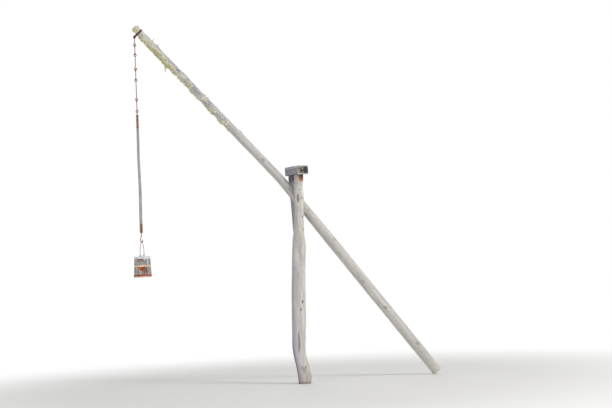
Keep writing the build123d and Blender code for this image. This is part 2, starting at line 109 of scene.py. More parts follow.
# Distance from the axle, turn in degrees from the upper side towards the front, reach and radius
STUBS = (
    (-3.51, 6, 0.055, 0.006),
    (-3.40, 22, 0.034, 0.008),
    (-2.86, 64, 0.016, 0.013),
    (-2.21, 122, 0.014, 0.012),
    (-1.90, -88, 0.020, 0.013),
    (-1.46, 28, 0.018, 0.011),
    (-0.88, 98, 0.012, 0.014),
    (0.92, 66, 0.012, 0.015),
    (1.31, -104, 0.018, 0.016),
    (1.78, 124, 0.014, 0.019),
    (2.38, 102, 0.016, 0.018),
    (2.92, -58, 0.014, 0.017),
    (3.22, 80, 0.010, 0.015),
)


# Node trees

class Value:
    """A socket of a node tree that can stand in a sum."""

    def __init__(self, sheet, socket):
        self.sheet, self.socket = sheet, socket

    def __add__(self, other):
        return self.sheet.maths("ADD", self, other)

    def __sub__(self, other):
        return self.sheet.maths("SUBTRACT", self, other)

    def __rsub__(self, other):
        return self.sheet.maths("SUBTRACT", other, self)

    def __mul__(self, other):
        return self.sheet.maths("MULTIPLY", self, other)

    __radd__ = __add__
    __rmul__ = __mul__

    def size(self):
        """The value without its sign."""
        return self.sheet.maths("ABSOLUTE", self)

    def between(self, low, high):
        """Runs smoothly from 0 at low to 1 at high, which may be the lower of the two."""
        return self.sheet.add("ShaderNodeMapRange", {"interpolation_type": "SMOOTHSTEP"},
                              {"Value": self, "From Min": low, "From Max": high})


class Place(Value):
    """A vector socket, such as the places on a surface, from which patterns are drawn."""

    def axis(self, name):
        return self.sheet.add("ShaderNodeSeparateXYZ", {}, {0: self}, take=name.upper())

    def drawn(self, x=1.0, y=1.0, z=1.0):
        """The places times a share for each axis: a low share draws the pattern out along it."""
        return self.sheet.vector("MULTIPLY", {0: self, 1: (x, y, z)})

    def waver(self, scale, reach):
        """Shifts each place smoothly to and fro, so that what is drawn on it runs in waves."""
        sway = self.sheet.add("ShaderNodeTexNoise", {}, {"Vector": self, "Scale": scale, "Detail": 1.0},
                              take="Color")
        centred = self.sheet.vector("SUBTRACT", {0: sway, 1: (0.5, 0.5, 0.5)})
        return self.sheet.vector("MULTIPLY_ADD", {0: centred, 1: (reach, reach, reach), 2: self})

    def noise(self, scale, detail=3.0, rough=0.55):
        return self.sheet.add("ShaderNodeTexNoise", {},
                              {"Vector": self, "Scale": scale, "Detail": detail, "Roughness": rough})

    def ripple(self, scale, detail=3.0, rough=0.55):
        """Noise that runs as far below zero as above it."""
        return self.noise(scale, detail, rough) - 0.5

    def distance(self, point, x=1.0, y=1.0, z=1.0):
        """How far each place is from a point, where each axis counts for its share."""
        drawn_point = (x * point[0], y * point[1], z * point[2])
        return self.sheet.vector("DISTANCE", {0: self.drawn(x, y, z), 1: drawn_point}, take="Value")

    def dot(self, direction):
        return self.sheet.vector("DOT_PRODUCT", {0: self, 1: direction}, take="Value")


class Sheet:
    """A node tree, and the one way in which nodes are added to it."""

    def __init__(self, tree):
        self.tree = tree

    def add(self, kind, settings=None, sockets=None, take=0):
        """Adds a node with its settings and the values or links of its sockets, and takes an output."""
        node = self.tree.nodes.new(kind)
        for name, setting in (settings or {}).items():
            setattr(node, name, setting)
        for name, value in (sockets or {}).items():
            if isinstance(value, Value):
                self.feed(node, name, value)
            elif node.inputs[name].type == "RGBA":
                node.inputs[name].default_value = (*value, 1.0)
            else:
                node.inputs[name].default_value = value
        if not node.outputs:
            return None
        output = node.outputs[take]
        return Place(self, output) if output.type == "VECTOR" else Value(self, output)

    def feed(self, node, name, value):
        self.tree.links.new(value.socket, node.inputs[name])

    def maths(self, operation, first, second=0.0):
        return self.add("ShaderNodeMath", {"operation": operation}, {0: first, 1: second})

    def vector(self, operation, sockets, take=0):
        return self.add("ShaderNodeVectorMath", {"operation": operation}, sockets, take)

    def mix(self, share, first, second):
        return self.add("ShaderNodeMix", {"data_type": "RGBA"}, {0: share, 6: first, 7: second}, take=2)

    def surface(self, reading):
        """The places on a surface, as Object, or the directions that it faces, as Normal."""
        return self.add("ShaderNodeTexCoord", take=reading)


class Finish:
    """A material in the making: the places that it is drawn on, and its colour and relief so far."""

    def __init__(self, name, rough, metallic=0.0, attribute=None):
        self.material = bpy.data.materials.new(name)
        self.material.use_nodes = True
        self.sheet = Sheet(self.material.node_tree)
        self.shader = self.material.node_tree.nodes["Principled BSDF"]
        self.shader.inputs["Roughness"].default_value = rough
        self.shader.inputs["Metallic"].default_value = metallic
        self.colour = self.height = None
        if attribute:
            self.place = self.sheet.add("ShaderNodeAttribute", {"attribute_name": attribute}, take="Vector")
        else:
            self.place = self.sheet.surface("Object")

    def lay(self, share, colour):
        """Lays a colour over the finish, as thickly as share says from 0 to 1."""
        self.colour = self.sheet.mix(share, self.colour, colour)

    def feed(self, name, value):
        self.sheet.feed(self.shader, name, value)

    def done(self, depth):
        """Feeds the shader the colour and the relief, which is depth metres deep."""
        self.feed("Base Color", self.colour)
        self.feed("Normal", self.sheet.add("ShaderNodeBump", {}, {
            "Height": self.height, "Distance": depth, "Strength": 1.0,
        }))
        return self.material


# Modelling

def deselect_everything():
    if bpy.context.object and bpy.context.object.mode != "OBJECT":
        bpy.ops.object.mode_set(mode="OBJECT")
    bpy.ops.object.select_all(action="DESELECT")


def pick(*pieces):
    """Selects these pieces alone, with the first of them active."""
    deselect_everything()
    for piece in pieces:
        piece.select_set(True)
    bpy.context.view_layer.objects.active = pieces[0]


def primitive(shape, name, **settings):
    """Adds a primitive at its size and place, with the place kept in its mesh."""
    deselect_everything()
    getattr(bpy.ops.mesh, "primitive_" + shape + "_add")(**settings)
    piece = bpy.context.object
    piece.name = name
    bpy.ops.object.transform_apply(location=True, rotation=True, scale=True)
    return piece


def start_editing(piece, kind="FACE"):
    pick(piece)
    bpy.ops.object.mode_set(mode="EDIT")
    bpy.ops.mesh.select_mode(type=kind)
    bpy.ops.mesh.select_all(action="DESELECT")


def stop_editing():
    bpy.ops.object.mode_set(mode="OBJECT")


def select_faces(piece, test):
    """Selects in edit mode the faces whose normal passes the test."""
    shape = bmesh.from_edit_mesh(piece.data)
    for face in shape.faces:
        face.select_set(test(face.normal))
    bmesh.update_edit_mesh(piece.data)


def divide_edges(piece, cuts, test):
    """Subdivides the edges whose two ends pass the test."""
    start_editing(piece, "EDGE")
    shape = bmesh.from_edit_mesh(piece.data)
    for edge in shape.edges:
        edge.select_set(test(edge.verts[0].co, edge.verts[1].co))
    bmesh.update_edit_mesh(piece.data)
    bpy.ops.mesh.subdivide(number_cuts=cuts)
    stop_editing()


def finish_with(piece, kind, **settings):
    """Adds a modifier to the piece and applies it."""
    pick(piece)
    modifier = piece.modifiers.new("step", kind)
    for name, setting in settings.items():
        setattr(modifier, name, setting)
    bpy.ops.object.modifier_apply(modifier=modifier.name)


def join(name, pieces):
    pick(*pieces)
    bpy.ops.object.join()
    joined = bpy.context.object
    joined.name = name
    return joined


def cut(piece, cutter, operation="DIFFERENCE"):
    finish_with(piece, "BOOLEAN", object=cutter, operation=operation, solver="EXACT")
    bpy.data.objects.remove(cutter)


def copy_of_node(node, name):
    """A merged copy of a node's mesh, as rough stock to work on."""
    piece = frame["nodes"][node].copy()
    piece.data = piece.data.copy()
    piece.name = name
    piece.parent = None
    for key in list(piece.keys()):
        del piece[key]
    bpy.context.scene.collection.objects.link(piece)
    piece.data.materials.clear()
    start_editing(piece, "VERT")
    bpy.ops.mesh.select_all(action="SELECT")
    bpy.ops.mesh.remove_doubles(threshold=0.00002)
    stop_editing()
    return piece


def rework(piece, build):
    """Makes a piece's mesh anew with the geometry nodes that build adds to its surface and places."""
    tree = bpy.data.node_groups.new(piece.name + "_nodes", "GeometryNodeTree")
    for way in ("INPUT", "OUTPUT"):
        tree.interface.new_socket("Geometry", in_out=way, socket_type="NodeSocketGeometry")
    sheet = Sheet(tree)
    made = build(sheet, sheet.add("NodeGroupInput"), sheet.add("GeometryNodeInputPosition"))
    sheet.add("NodeGroupOutput", {}, {0: made})
    finish_with(piece, "NODES", node_group=tree)
    bpy.data.node_groups.remove(tree)


def carve(piece, relief):
    """Moves the surface along its normals by what relief works out from the place, in metres."""
    def build(sheet, surface, place):
        normal = sheet.add("GeometryNodeInputNormal")
        offset = sheet.vector("SCALE", {0: normal, "Scale": relief(place)})
        return sheet.add("GeometryNodeSetPosition", {}, {"Geometry": surface, "Offset": offset})

    rework(piece, build)


def rough_out(node, name, voxel, passes):
    """Rough stock of a node, remeshed evenly and with its corners worn round."""
    piece = copy_of_node(node, name)
    finish_with(piece, "REMESH", mode="VOXEL", voxel_size=voxel)
    finish_with(piece, "SMOOTH", factor=0.5, iterations=passes)
    return piece


def dress(piece, material, body, slot, *nodes):
    """Gives a finished piece its material and body, and hides the nodes that it stands for; slot is not
    used.
    """
    piece.data.materials.clear()
    piece.data.materials.append(material)
    pick(piece)
    bpy.ops.object.shade_smooth_by_angle(angle=math.radians(40))
    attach(piece, body)
    if nodes:
        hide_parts(*nodes)


def points_of(piece):
    flat = np.empty(len(piece.data.vertices) * 3)
    piece.data.vertices.foreach_get("co", flat)
    return flat.reshape(-1, 3)


def map_points(piece, rule):
    """Moves each of the piece's points to where the rule puts it."""
    piece.data.vertices.foreach_set("co", rule(points_of(piece)).ravel())
    piece.data.update()


# Sizes and colours

def length(name, description, default):
    return bpy.props.FloatProperty(name=name, description=description, default=default, unit="LENGTH",
                                   precision=4)


def angle(name, description, degrees):
    return bpy.props.FloatProperty(name=name, description=description, default=math.radians(degrees),
                                   unit="ROTATION")


def colour(name, description, default):
    return bpy.props.FloatVectorProperty(name=name, description=description, default=default, size=3,
                                         min=0.0, max=1.0, subtype="COLOR")


class WoodLook(bpy.types.PropertyGroup):
    white: colour("White", "Ridges that the sun has bleached most", (0.78, 0.745, 0.69))
    pale: colour("Pale", "Sun-bleached wood", (0.55, 0.53, 0.505))
    grey: colour("Grey", "Weathered wood", (0.37, 0.36, 0.36))
    dark: colour("Dark", "Wood in checks and hollows", (0.060, 0.052, 0.048))
    plum: colour("Plum", "Purple-grey wood under the bark that has gone", (0.155, 0.135, 0.165))
    warm: colour("Warm", "Wood with some of its brown left", (0.41, 0.325, 0.265))
    # Cool is also laid on the trunk's -X edge as painted shade.
    cool: colour("Cool", "Blue-grey of hewn, wet-weathered wood", (0.235, 0.265, 0.325))
    lichen: colour("Lichen", "Yellow-green lichen", (0.80, 0.77, 0.46))
    lichen_pale: colour("Pale lichen", "White and grey-green lichen", (0.89, 0.865, 0.72))
    # Haze is painted sky light: the blue-white of faces lit by the sky, laid on the trunk's -X side, along
    # the top of the cap's sides and on the pole's upper side.
    sky_light_tint: colour("Haze", "Blue-white of wood bleached by sun and rain", (0.60, 0.60, 0.70))
    rust_stain: colour("Rust stain", "Rust that has run into the wood", (0.42, 0.135, 0.018))


class IronLook(bpy.types.PropertyGroup):
    rust: colour("Rust", "Even old rust", (0.20, 0.072, 0.036))
    rust_dark: colour("Dark rust", "Scale and pits", (0.070, 0.026, 0.020))
    rust_red: colour("Red rust", "Dark red rust of the tip's strap", (0.135, 0.030, 0.022))
    rust_bright: colour("Bright rust", "Fresh orange rust", (0.52, 0.185, 0.060))
    rust_vivid: colour("Vivid rust", "Orange-red rust on the bucket", (0.56, 0.074, 0.003))
    zinc: colour("Zinc", "Galvanised sheet", (0.74, 0.79, 0.85))
    zinc_dull: colour("Dull zinc", "Weathered galvanised sheet", (0.55, 0.60, 0.66))
    cream: colour("Cream", "Zinc with a thin film of rust", (0.88, 0.62, 0.40))


class PostSizes(bpy.types.PropertyGroup):
    grid: length("Grid", "Spacing of the trunk's mesh", 0.0075)
    flute: length("Flutes", "Depth of the long hollows of the trunk", 0.0075)
    ripple: length("Ripples", "Depth of the grain's small ridges", 0.0022)
    cap_grid: length("Cap grid", "Spacing of the cap's mesh", 0.0048)
    hewing: length("Hewing", "Depth of the axe marks on the cap", 0.0035)
    check: length("Checks", "Depth of the cap's checks", 0.004)
    axle_grid: length("Axle grid", "Spacing of the axle's mesh", 0.0026)


class PoleSizes(bpy.types.PropertyGroup):
    tip_arm: length("Tip arm", "Axle to tip", 3.855)
    butt_arm: length("Butt arm", "Axle to butt", 3.8423)
    tip_radius: length("Tip radius", "Radius of the pole at its tip", 0.056)
    waist_radius: length("Waist radius", "Radius of the pole at its axle", 0.073)
    butt_radius: length("Butt radius", "Radius of the pole at its butt", 0.087)
    cheek_half: length("Cheeks", "Half the width between the hewn cheeks", 0.066)
    cheek_length: length("Cheek length", "Length of the hewn cheeks", 0.52)
    butt_angle: angle("Butt angle", "Slope of the butt half at rest", 51.2)
    bend: angle("Bend", "Turn of the pole past the fork", 4.95)
    bend_start: length("Bend start", "Axle to the start of the bend", 0.22)
    bend_length: length("Bend length", "Length of the bend", 0.40)
    axle_bore: length("Axle bore", "Radius of the bore for the axle", 0.01708)
    swell: length("Swells", "Depth of the pole's broad swells", 0.012)
    ridge: length("Ridges", "Depth of the ridges along the grain", 0.0075)
    check: length("Checks", "Depth of the long checks", 0.003)
    collar: length("Collars", "Rise of the wood round each branch stub", 0.006)
    clump: length("Clump", "Half the width of the largest clump of lichen", 0.022)
    tuft: length("Tuft", "Length of the longest tuft of lichen", 0.027)
    beard: length("Beard", "Length of the beard of lichen that hangs near the tip", 0.16)
    beard_arm: length("Beard arm", "Axle to the root of the beard", 3.11)
    strands: bpy.props.IntProperty(name="Strands", description="Strands in the beard", default=34, min=1)


class IronSizes(bpy.types.PropertyGroup):
    grid: length("Grid", "Spacing of the spikes' and the chain's mesh", 0.0017)
    strap_grid: length("Strap grid", "Spacing of the mesh of the tip's strap", 0.0021)
    thin_grid: length("Thin grid", "Spacing of the mesh of the rod's irons and the bail", 0.0014)
    ear_grid: length("Ear grid", "Spacing of the ears' mesh", 0.0012)
    pits: length("Pits", "Depth of the pits", 0.0006)


class RodSizes(bpy.types.PropertyGroup):
    grid: length("Grid", "Spacing of the rod's mesh", 0.0040)
    bow: length("Bow", "Reach of the rod's bow along the sweep", 0.007)
    side_bow: length("Side bow", "Reach of the rod's bow across the sweep", 0.005)
    ridge: length("Ridges", "Depth of the ridges along the grain", 0.0022)


class BucketSizes(bpy.types.PropertyGroup):
    rim_radius: length("Rim radius", "Radius of the staves at the rim", 0.125)
    base_radius: length("Base radius", "Radius of the staves at the base", 0.141)
    stave_grid: length("Stave grid", "Spacing of the staves' mesh", 0.0034)
    ridge: length("Ridges", "Depth of the ridges along the staves' grain", 0.0016)
    hoop_thickness: length("Hoop thickness", "Thickness of the hoops' iron", 0.0015)
    lap: angle("Lap", "Turn over which a hoop's ends lie on each other", 16.0)
    head: length("Rivet head", "Radius of a rivet's head", 0.0045)
    boards: bpy.props.IntProperty(name="Boards", description="Boards in the bottom", default=4, min=1)


class StageSizes(bpy.types.PropertyGroup):
    eye: bpy.props.FloatVectorProperty(name="Eye", description="Place of the camera", size=3,
                                       default=(-6.966, -19.563, 1.701), subtype="TRANSLATION")
    heading: angle("Heading", "Turn of the view from the Y axis towards X", 20.0)
    pitch: angle("Pitch", "Rise of the view above level", 3.479)
    roll: angle("Roll", "Tilt of the picture", 2.5)
    lens: bpy.props.FloatProperty(name="Lens", description="Focal length in millimetres", default=73.53)
    floor: colour("Floor", "Colour of the floor", (0.86, 0.86, 0.85))
    floor_start: length("Fade start", "Distance at which the floor starts to fade to white", 3.2)
    floor_end: length("Fade end", "Distance at which the floor is white", 9.0)
    sky: bpy.props.FloatProperty(name="Sky", description="Strength of the light from all round",
                                 default=0.45)


# Wood

def weathered(name, grain, attribute=None, coarse=1.0, waves=0.0, cracking=1.0):
    """Weathered wood with its grain along x, y or z."""
    tones = bpy.context.scene.sweep_wood
    wood = Finish(name, 0.86, attribute=attribute)
    swayed = wood.place.waver(4.5, waves)
    drawn = swayed.drawn(**{grain: 0.055})
    broad = drawn.noise(9.0 * coarse)
    streaks = drawn.noise(58.0 * coarse, 4.0)
    fibres = drawn.noise(320.0, 2.0)
    spots = wood.place.drawn(**{grain: 0.4}).noise(36.0)
    cracked = drawn.noise(13.0, 1.0).between(0.48, 0.58) * cracking
    checks = swayed.drawn(**{grain: 0.010}).ripple(34.0, 1.5, 0.4).size().between(0.017, 0.003) * cracked
    wood.colour = wood.sheet.mix(broad.between(0.34, 0.60), tones.grey, tones.pale)
    wood.lay(streaks.between(0.52, 0.70) * 0.55, tones.white)
    wood.lay(streaks.between(0.46, 0.26) * 0.55, tones.warm)
    wood.lay(spots.between(0.56, 0.66) * 0.45, tones.white)
    wood.lay(spots.between(0.42, 0.32) * 0.45, tones.grey)
    wood.lay(fibres.between(0.48, 0.34) * 0.34, tones.dark)
    wood.lay(fibres.between(0.54, 0.68) * 0.34, tones.white)
    wood.lay(checks * 0.85, tones.dark)
    wood.height = streaks * 0.45 + fibres * 0.22 - checks
    return wood


def grow_lichen(wood, cover, crust_size=1.0):
    """Lays crusts of lichen over the wood, more of it where cover is near 1."""
    tones = bpy.context.scene.sweep_wood
    crusts = wood.place.noise(24.0 / crust_size, 6.0, 0.66)
    specks = wood.place.noise(120.0)
    here = (crusts + cover * 0.28 + specks * 0.14).between(0.76, 0.84)
    kind = (wood.place.noise(13.0, 2.0) + crusts * 0.5).between(0.66, 0.84)
    crust = wood.sheet.mix(kind, tones.lichen, tones.lichen_pale)
    crust = wood.sheet.mix(specks.between(0.52, 0.34) * 0.5, crust, tones.grey)
    wood.lay(here * 0.88, crust)
    wood.height = wood.height + here * specks * 0.45


def trunk_wood():
    """Cream-grey wood in pinkish-brown waves, with painted sky light in blue-white and painted shade in
    blue-grey on its -X side, and lichen above.
    """
    tones = bpy.context.scene.sweep_wood
    wood = weathered("trunk_wood", "z", coarse=0.55, waves=0.05, cracking=0.4)
    place = wood.place
    side, back, rise = (place.axis(name) for name in "xyz")
    pink = place.waver(3.0, 0.09).drawn(z=0.10).noise(21.0, 2.0)
    wood.lay(0.36, tones.white)
    wood.lay(pink.between(0.55, 0.66) * rise.between(0.6, 1.3) * 0.50, tones.warm)
    wood.lay(pink.between(0.46, 0.36) * 0.70, tones.white)
    # Painted light and shade: the -X side, turned a little towards +Y and away from the key lamp, gets
    # painted sky light in blue-white and, nearer its edge, painted shade in blue-grey.
    shaded_side = back * 0.3 - side - rise.between(0.2, 0.7) * rise.between(2.3, 1.0) * 0.055
    wood.lay(shaded_side.between(-0.01, 0.06) * 0.45, tones.sky_light_tint)
    wood.lay(shaded_side.between(0.080, 0.135) * 0.45, tones.cool)
    upper = rise.between(1.1, 2.6)
    grow_lichen(wood, upper * 0.34 + 0.10)
    green = place.drawn(z=0.3).noise(15.0)
    wood.lay(green.between(0.50, 0.68) * upper * 0.45, tones.lichen_pale)
    # Painted shade: the rear prong, from just below the cap upwards, is laid with plum.
    shaded_rear_prong = back.between(0.03, 0.09) * rise.between(2.36, 2.50)
    wood.lay(shaded_rear_prong * 0.45, tones.plum)
    # Painted shadow of the cap: darkened just below it, lower towards the rear (+Y).
    shadow_under_cap = (back * 0.5 + rise).between(CAP_LOW - 0.05, CAP_LOW - 0.01)
    wood.lay(shadow_under_cap * 0.60, tones.dark)
    mark_trunk(wood, side, rise, back.between(0.0, -0.02))
    foot = (rise + place.noise(9.0) * 0.16).between(0.48, 0.10)
    wood.lay(foot * 0.45, tones.warm)
    # Painted shade: faces turned to the -X side, a little towards +Y and away from the key lamp, are
    # darkened on the foot below about 0.7 m.
    damp_and_shade = wood.sheet.surface("Normal").dot(SHADE_SIDE)
    wood.lay(damp_and_shade.between(0.66, 0.92) * rise.between(0.74, 0.50) * 0.60, tones.dark)
    wet = (rise + place.noise(16.0) * 0.06).between(0.09, 0.03)
    wood.lay(wet * 0.5, tones.dark)
    return wood.done(0.005)


def mark_trunk(wood, side, rise, front):
    """Adds the trunk's knots, the fold at its foot with painted shade in its crease, the scar, and the rust
    under its cap with painted shadow at its top.
    """
    tones = bpy.context.scene.sweep_wood
    place = wood.place
    knots = 0.0
    for x, z, girth, flat in TRUNK_KNOTS:
        spot = place.distance((x, 0.0, z), y=0.0, z=flat)
        knots = spot.between(2.0 * girth, 0.8 * girth) * front + knots
    wood.lay(knots * 0.7, tones.dark)
    fold = (side + place.noise(14.0, 2.0) * 0.02 - FOLD_X).size() - (rise - FOLD_LOW) * 0.34
    fold_reach = rise.between(FOLD_TOP, FOLD_TOP - 0.04) * front
    wood.lay(fold.between(0.003, -0.006) * fold_reach * 0.45, tones.warm)
    # Painted shade: a dark line along the fold's crease.
    wood.lay(fold.size().between(0.012, 0.003) * fold_reach * 0.65, tones.dark)
    rim = place.distance((SCAR.x - 0.008, SCAR.y, SCAR.z), y=0.4, z=0.22)
    wood.lay(rim.between(0.036, 0.024) * 0.85, tones.white)
    scar = place.distance(SCAR, y=0.4, z=0.22)
    wood.lay(scar.between(0.021, 0.013) * 0.75, tones.plum)
    drips = place.drawn(z=0.10).ripple(60.0)
    run = place.distance(RUST_RUN, z=0.65) + drips * 0.07
    stain = place.drawn(z=0.2).noise(34.0).between(0.14, 0.40)
    wood.lay(run.between(0.080, 0.056) * stain * 0.95, tones.rust_stain)
    # Painted shadow: the top of the rust run, right under the cap, is darkened.
    wood.lay(run.between(0.058, 0.030) * 0.85, tones.dark)


def cap_wood():
    """Blue-grey hewn sides with grain along Y, and dark, blotched end grain."""
    tones = bpy.context.scene.sweep_wood
    wood = weathered("cap_wood", "y")
    place = wood.place
    normal = wood.sheet.surface("Normal")
    end = normal.axis("y").size().between(0.55, 0.80)
    top = normal.axis("z").between(0.45, 0.80)
    rise = place.axis("z") - place.axis("y") * CAP_SLOPE
    ragged = place.drawn(y=0.3).noise(26.0) * 0.03
    wood.lay(0.58, tones.cool)
    # Painted light: a blue-white band of sky light along the top of the cap's sides.
    wood.lay((rise + ragged).between(CAP_MIDDLE + 0.036, CAP_MIDDLE + 0.050) * 0.75, tones.sky_light_tint)
    wood.lay((rise + ragged).between(CAP_MIDDLE - 0.035, CAP_MIDDLE - 0.060) * 0.35, tones.dark)
    wood.lay(top * 0.6, tones.pale)
    wobble = place.noise(22.0)
    ring = wood.sheet.maths("SINE", place.distance(CAP_HEART, y=0.0) * 760.0 + wobble * 22.0)
    blotch = place.noise(19.0, 4.0, 0.6)
    across = place.axis("x") - 0.02
    edge = (rise + ragged * 0.4 - (CAP_MIDDLE + 0.006)).size().between(0.052, 0.064)
    grain = wood.sheet.mix((blotch + across * 0.9).between(0.53, 0.42) * 0.80, tones.dark, tones.warm)
    for share, tone in (
        ((across + wobble * 0.12).between(0.04, -0.03) * 0.30, tones.lichen_pale),
        (ring.between(0.0, 1.0) * 0.22, tones.dark),
        (edge * 0.85, tones.lichen_pale),
        (blotch.between(0.40, 0.34) * 0.6, tones.lichen_pale),
    ):
        grain = wood.sheet.mix(share, grain, tone)
    wood.lay(end, grain)
    grow_lichen(wood, top * 0.45 + end * 0.16 + 0.06)
    wood.height = wood.height + ring * end * 0.2
    return wood.done(0.004)


def pole_wood():
    """Silver-grey wood with long checks, blotched above and crusted below on its tip half."""
    tones = bpy.context.scene.sweep_wood
    wood = weathered("pole_wood", "x", attribute="straight", waves=0.02)
    place = wood.place
    along = place.axis("x")
    up = place.axis("z")
    for s, turn, reach, girth in STUBS:
        ring = place.distance(stub_root(s, turn), x=0.6)
        wood.lay(ring.between(2.0 * girth, 0.9 * girth) * 0.55, tones.dark)
    butt_half = along.between(0.1, 0.8)
    wood.lay(butt_half * 0.20 + 0.15, tones.white)
    shine = place.waver(3.0, 0.03).drawn(x=0.04).noise(26.0, 2.0)
    wood.lay(shine.between(0.52, 0.64) * 0.55, tones.white)
    bare = along.between(-1.7, -2.8)
    blotch = place.drawn(x=0.45).noise(21.0, 4.0)
    upper = up.between(-0.05, 0.03)
    # Painted light: the upper side of the pole's tip half gets blue-white sky light.
    wood.lay(upper * along.between(0.0, -1.2) * 0.35, tones.sky_light_tint)
    wood.lay(blotch.between(0.50, 0.42) * bare * 0.50, tones.white)
    wood.lay(blotch.between(0.52, 0.62) * bare * (upper * 0.45 + 0.25), tones.plum)
    wood.lay(blotch.between(0.62, 0.68) * bare * 0.8, tones.dark)
    tip_half = along.between(-0.5, -2.6)
    below = up.between(0.02, -0.035)
    thick = along.between(-2.4, -3.0)
    cover = tip_half * (below * 0.28 + 0.12) + thick * (below * 0.42 + 0.16) + below * 0.06
    grow_lichen(wood, cover, 1.2)
    return wood.done(0.004)


def lichen_crust():
    """The matt, pitted skin of lichen clumps."""
    tones = bpy.context.scene.sweep_wood
    lichen = Finish("lichen_crust", 0.95)
    patches = lichen.place.noise(26.0)
    pores = lichen.place.noise(260.0)
    lichen.colour = lichen.sheet.mix(patches.between(0.42, 0.60), tones.lichen, tones.lichen_pale)
    lichen.lay(pores.between(0.50, 0.34) * 0.45, tones.grey)
    lichen.height = pores
    return lichen.done(0.003)


def plain_wood(name, grain, grey_share, stain_share):
    """Weathered wood for the rod, the axle and the bucket."""
    tones = bpy.context.scene.sweep_wood
    wood = weathered(name, grain)
    wood.lay(grey_share, tones.grey)
    stains = wood.place.noise(14.0, 4.0)
    wood.lay(stains.between(0.50, 0.68) * stain_share, tones.warm)
    return wood


def rod_wood():
    """Grey wood, into which rust has run from the irons at both ends."""
    wood = plain_wood("rod_wood", "z", 0.25, 0.5)
    low, high = (corner.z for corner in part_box("rod"))
    half = (high - low) / 2
    near_irons = (wood.place.axis("z") - (low + high) / 2).size().between(half - 0.24, half - 0.10)
    runs = wood.place.drawn(z=0.12).noise(60.0, 2.0).between(0.40, 0.60)
    wood.lay(near_irons * runs * 0.5, bpy.context.scene.sweep_wood.rust_stain)
    return wood.done(0.003)


def axle_wood():
    """Weathered hardwood, a little bleached."""
    wood = plain_wood("axle_wood", "y", 0.1, 0.5)
    wood.lay(0.30, bpy.context.scene.sweep_wood.white)
    return wood.done(0.002)


def bottom_wood():
    """Dark, damp boards."""
    wood = plain_wood("bottom_wood", "x", 0.3, 0.5)
    wood.lay(0.35, bpy.context.scene.sweep_wood.dark)
    return wood.done(0.003)


def stave_wood():
    """Mottled grey staves with rust from the hoops, and dark wood inside and at the joints."""
    tones = bpy.context.scene.sweep_wood
    wood = plain_wood("stave_wood", "z", 0.25, 0.45)
    place = wood.place
    rise = place.axis("z")
    cells = place.drawn(z=0.35).noise(38.0, 4.0)
    wood.lay(cells.between(0.54, 0.66) * 0.65, tones.lichen_pale)
    wood.lay(cells.between(0.46, 0.34) * 0.75, tones.cool)
    damp_and_shade = place.drawn(z=0.2).noise(27.0)
    wood.lay(damp_and_shade.between(0.54, 0.68) * 0.55, tones.plum)
    wood.lay(damp_and_shade.between(0.46, 0.34) * 0.45, tones.white)
    rust_staves(wood, rise, damp_and_shade)
    turn = wood.sheet.maths("ARCTAN2", place.axis("y"), place.axis("x") - BOLT.x)
    beside = wood.sheet.maths("FRACT", turn * (STAVES / (2 * math.pi)) + 2.0 * STAVES)
    wet = place.drawn(z=0.1).noise(11.0).between(0.42, 0.56)
    wood.lay((beside - 0.5).size().between(0.15, 0.05) * wet * 0.75, tones.dark)
    runs = place.drawn(z=0.08).noise(60.0, 2.0).between(0.5, 0.68)
    for low in HOOP_LOWS:
        below = rise.between(low - 0.07, low - 0.004) * rise.between(low + 0.004, low)
        wood.lay(below * runs * 0.8, tones.rust_stain)
    inner = place.distance((BOLT.x, 0.0, 0.0), z=0.0).between(0.126, 0.114)
    wood.lay(inner * 0.45, tones.dark)
    return wood.done(0.003)


def rust_staves(wood, rise, damp_and_shade):
    """Adds the rust patch under the middle hoop, vivid at its left and brown at its right."""
    iron = bpy.context.scene.sweep_iron
    place = wood.place
    top = HOOP_LOWS[1]
    from_patch = wood.sheet.vector("SUBTRACT", {0: place, 1: RUST_PATCH})
    across = from_patch.dot((-math.sin(PATCH_TURN), math.cos(PATCH_TURN), 0.0))
    ragged = place.drawn(z=0.4).ripple(70.0) * 0.024
    near = place.distance(RUST_PATCH).between(0.18, 0.10)
    brown = (across + ragged).between(0.020, 0.050) * rise.between(top + 0.006, top) * near
    wood.lay(brown * damp_and_shade.between(0.66, 0.44) * 0.85, iron.rust)
    wedge = (across - 0.014).size() - (rise - (top - 0.112)) * 0.46 + ragged
    patch = wedge.between(0.004, -0.004) * (rise + ragged * 0.4).between(top - 0.072, top - 0.062)
    patch = patch * rise.between(top + 0.012, top + 0.004) * near
    older = (across + ragged).between(0.032, 0.048)
    wood.lay(patch * 0.97, wood.sheet.mix(older, iron.rust_vivid, iron.rust))
    mark = place.distance(HOOP_MARK, z=1.5) + ragged * 0.4
    wood.lay(mark.between(0.040, 0.028) * 0.85, iron.rust_dark)


# Iron

def rusty_iron(name, brightness, redness=0.0):
    """Forged iron under even old rust, brighter where it is fresh and darker in its scale and pits."""
    tones = bpy.context.scene.sweep_iron
    iron = Finish(name, 0.88, 0.15)
    broad = iron.place.noise(34.0, 4.0)
    pits = iron.place.noise(320.0)
    iron.colour = iron.sheet.mix(broad.between(0.36, 0.60) * brightness, tones.rust, tones.rust_bright)
    iron.lay(redness, tones.rust_red)
    iron.lay(broad.between(0.44, 0.30) * 0.8, tones.rust_dark)
    iron.lay(pits.between(0.50, 0.34) * 0.6, tones.rust_dark)
    iron.height = pits + broad * 0.6
    iron.feed("Roughness", pits * 0.2 + 0.72)
    return iron.done(0.0012)


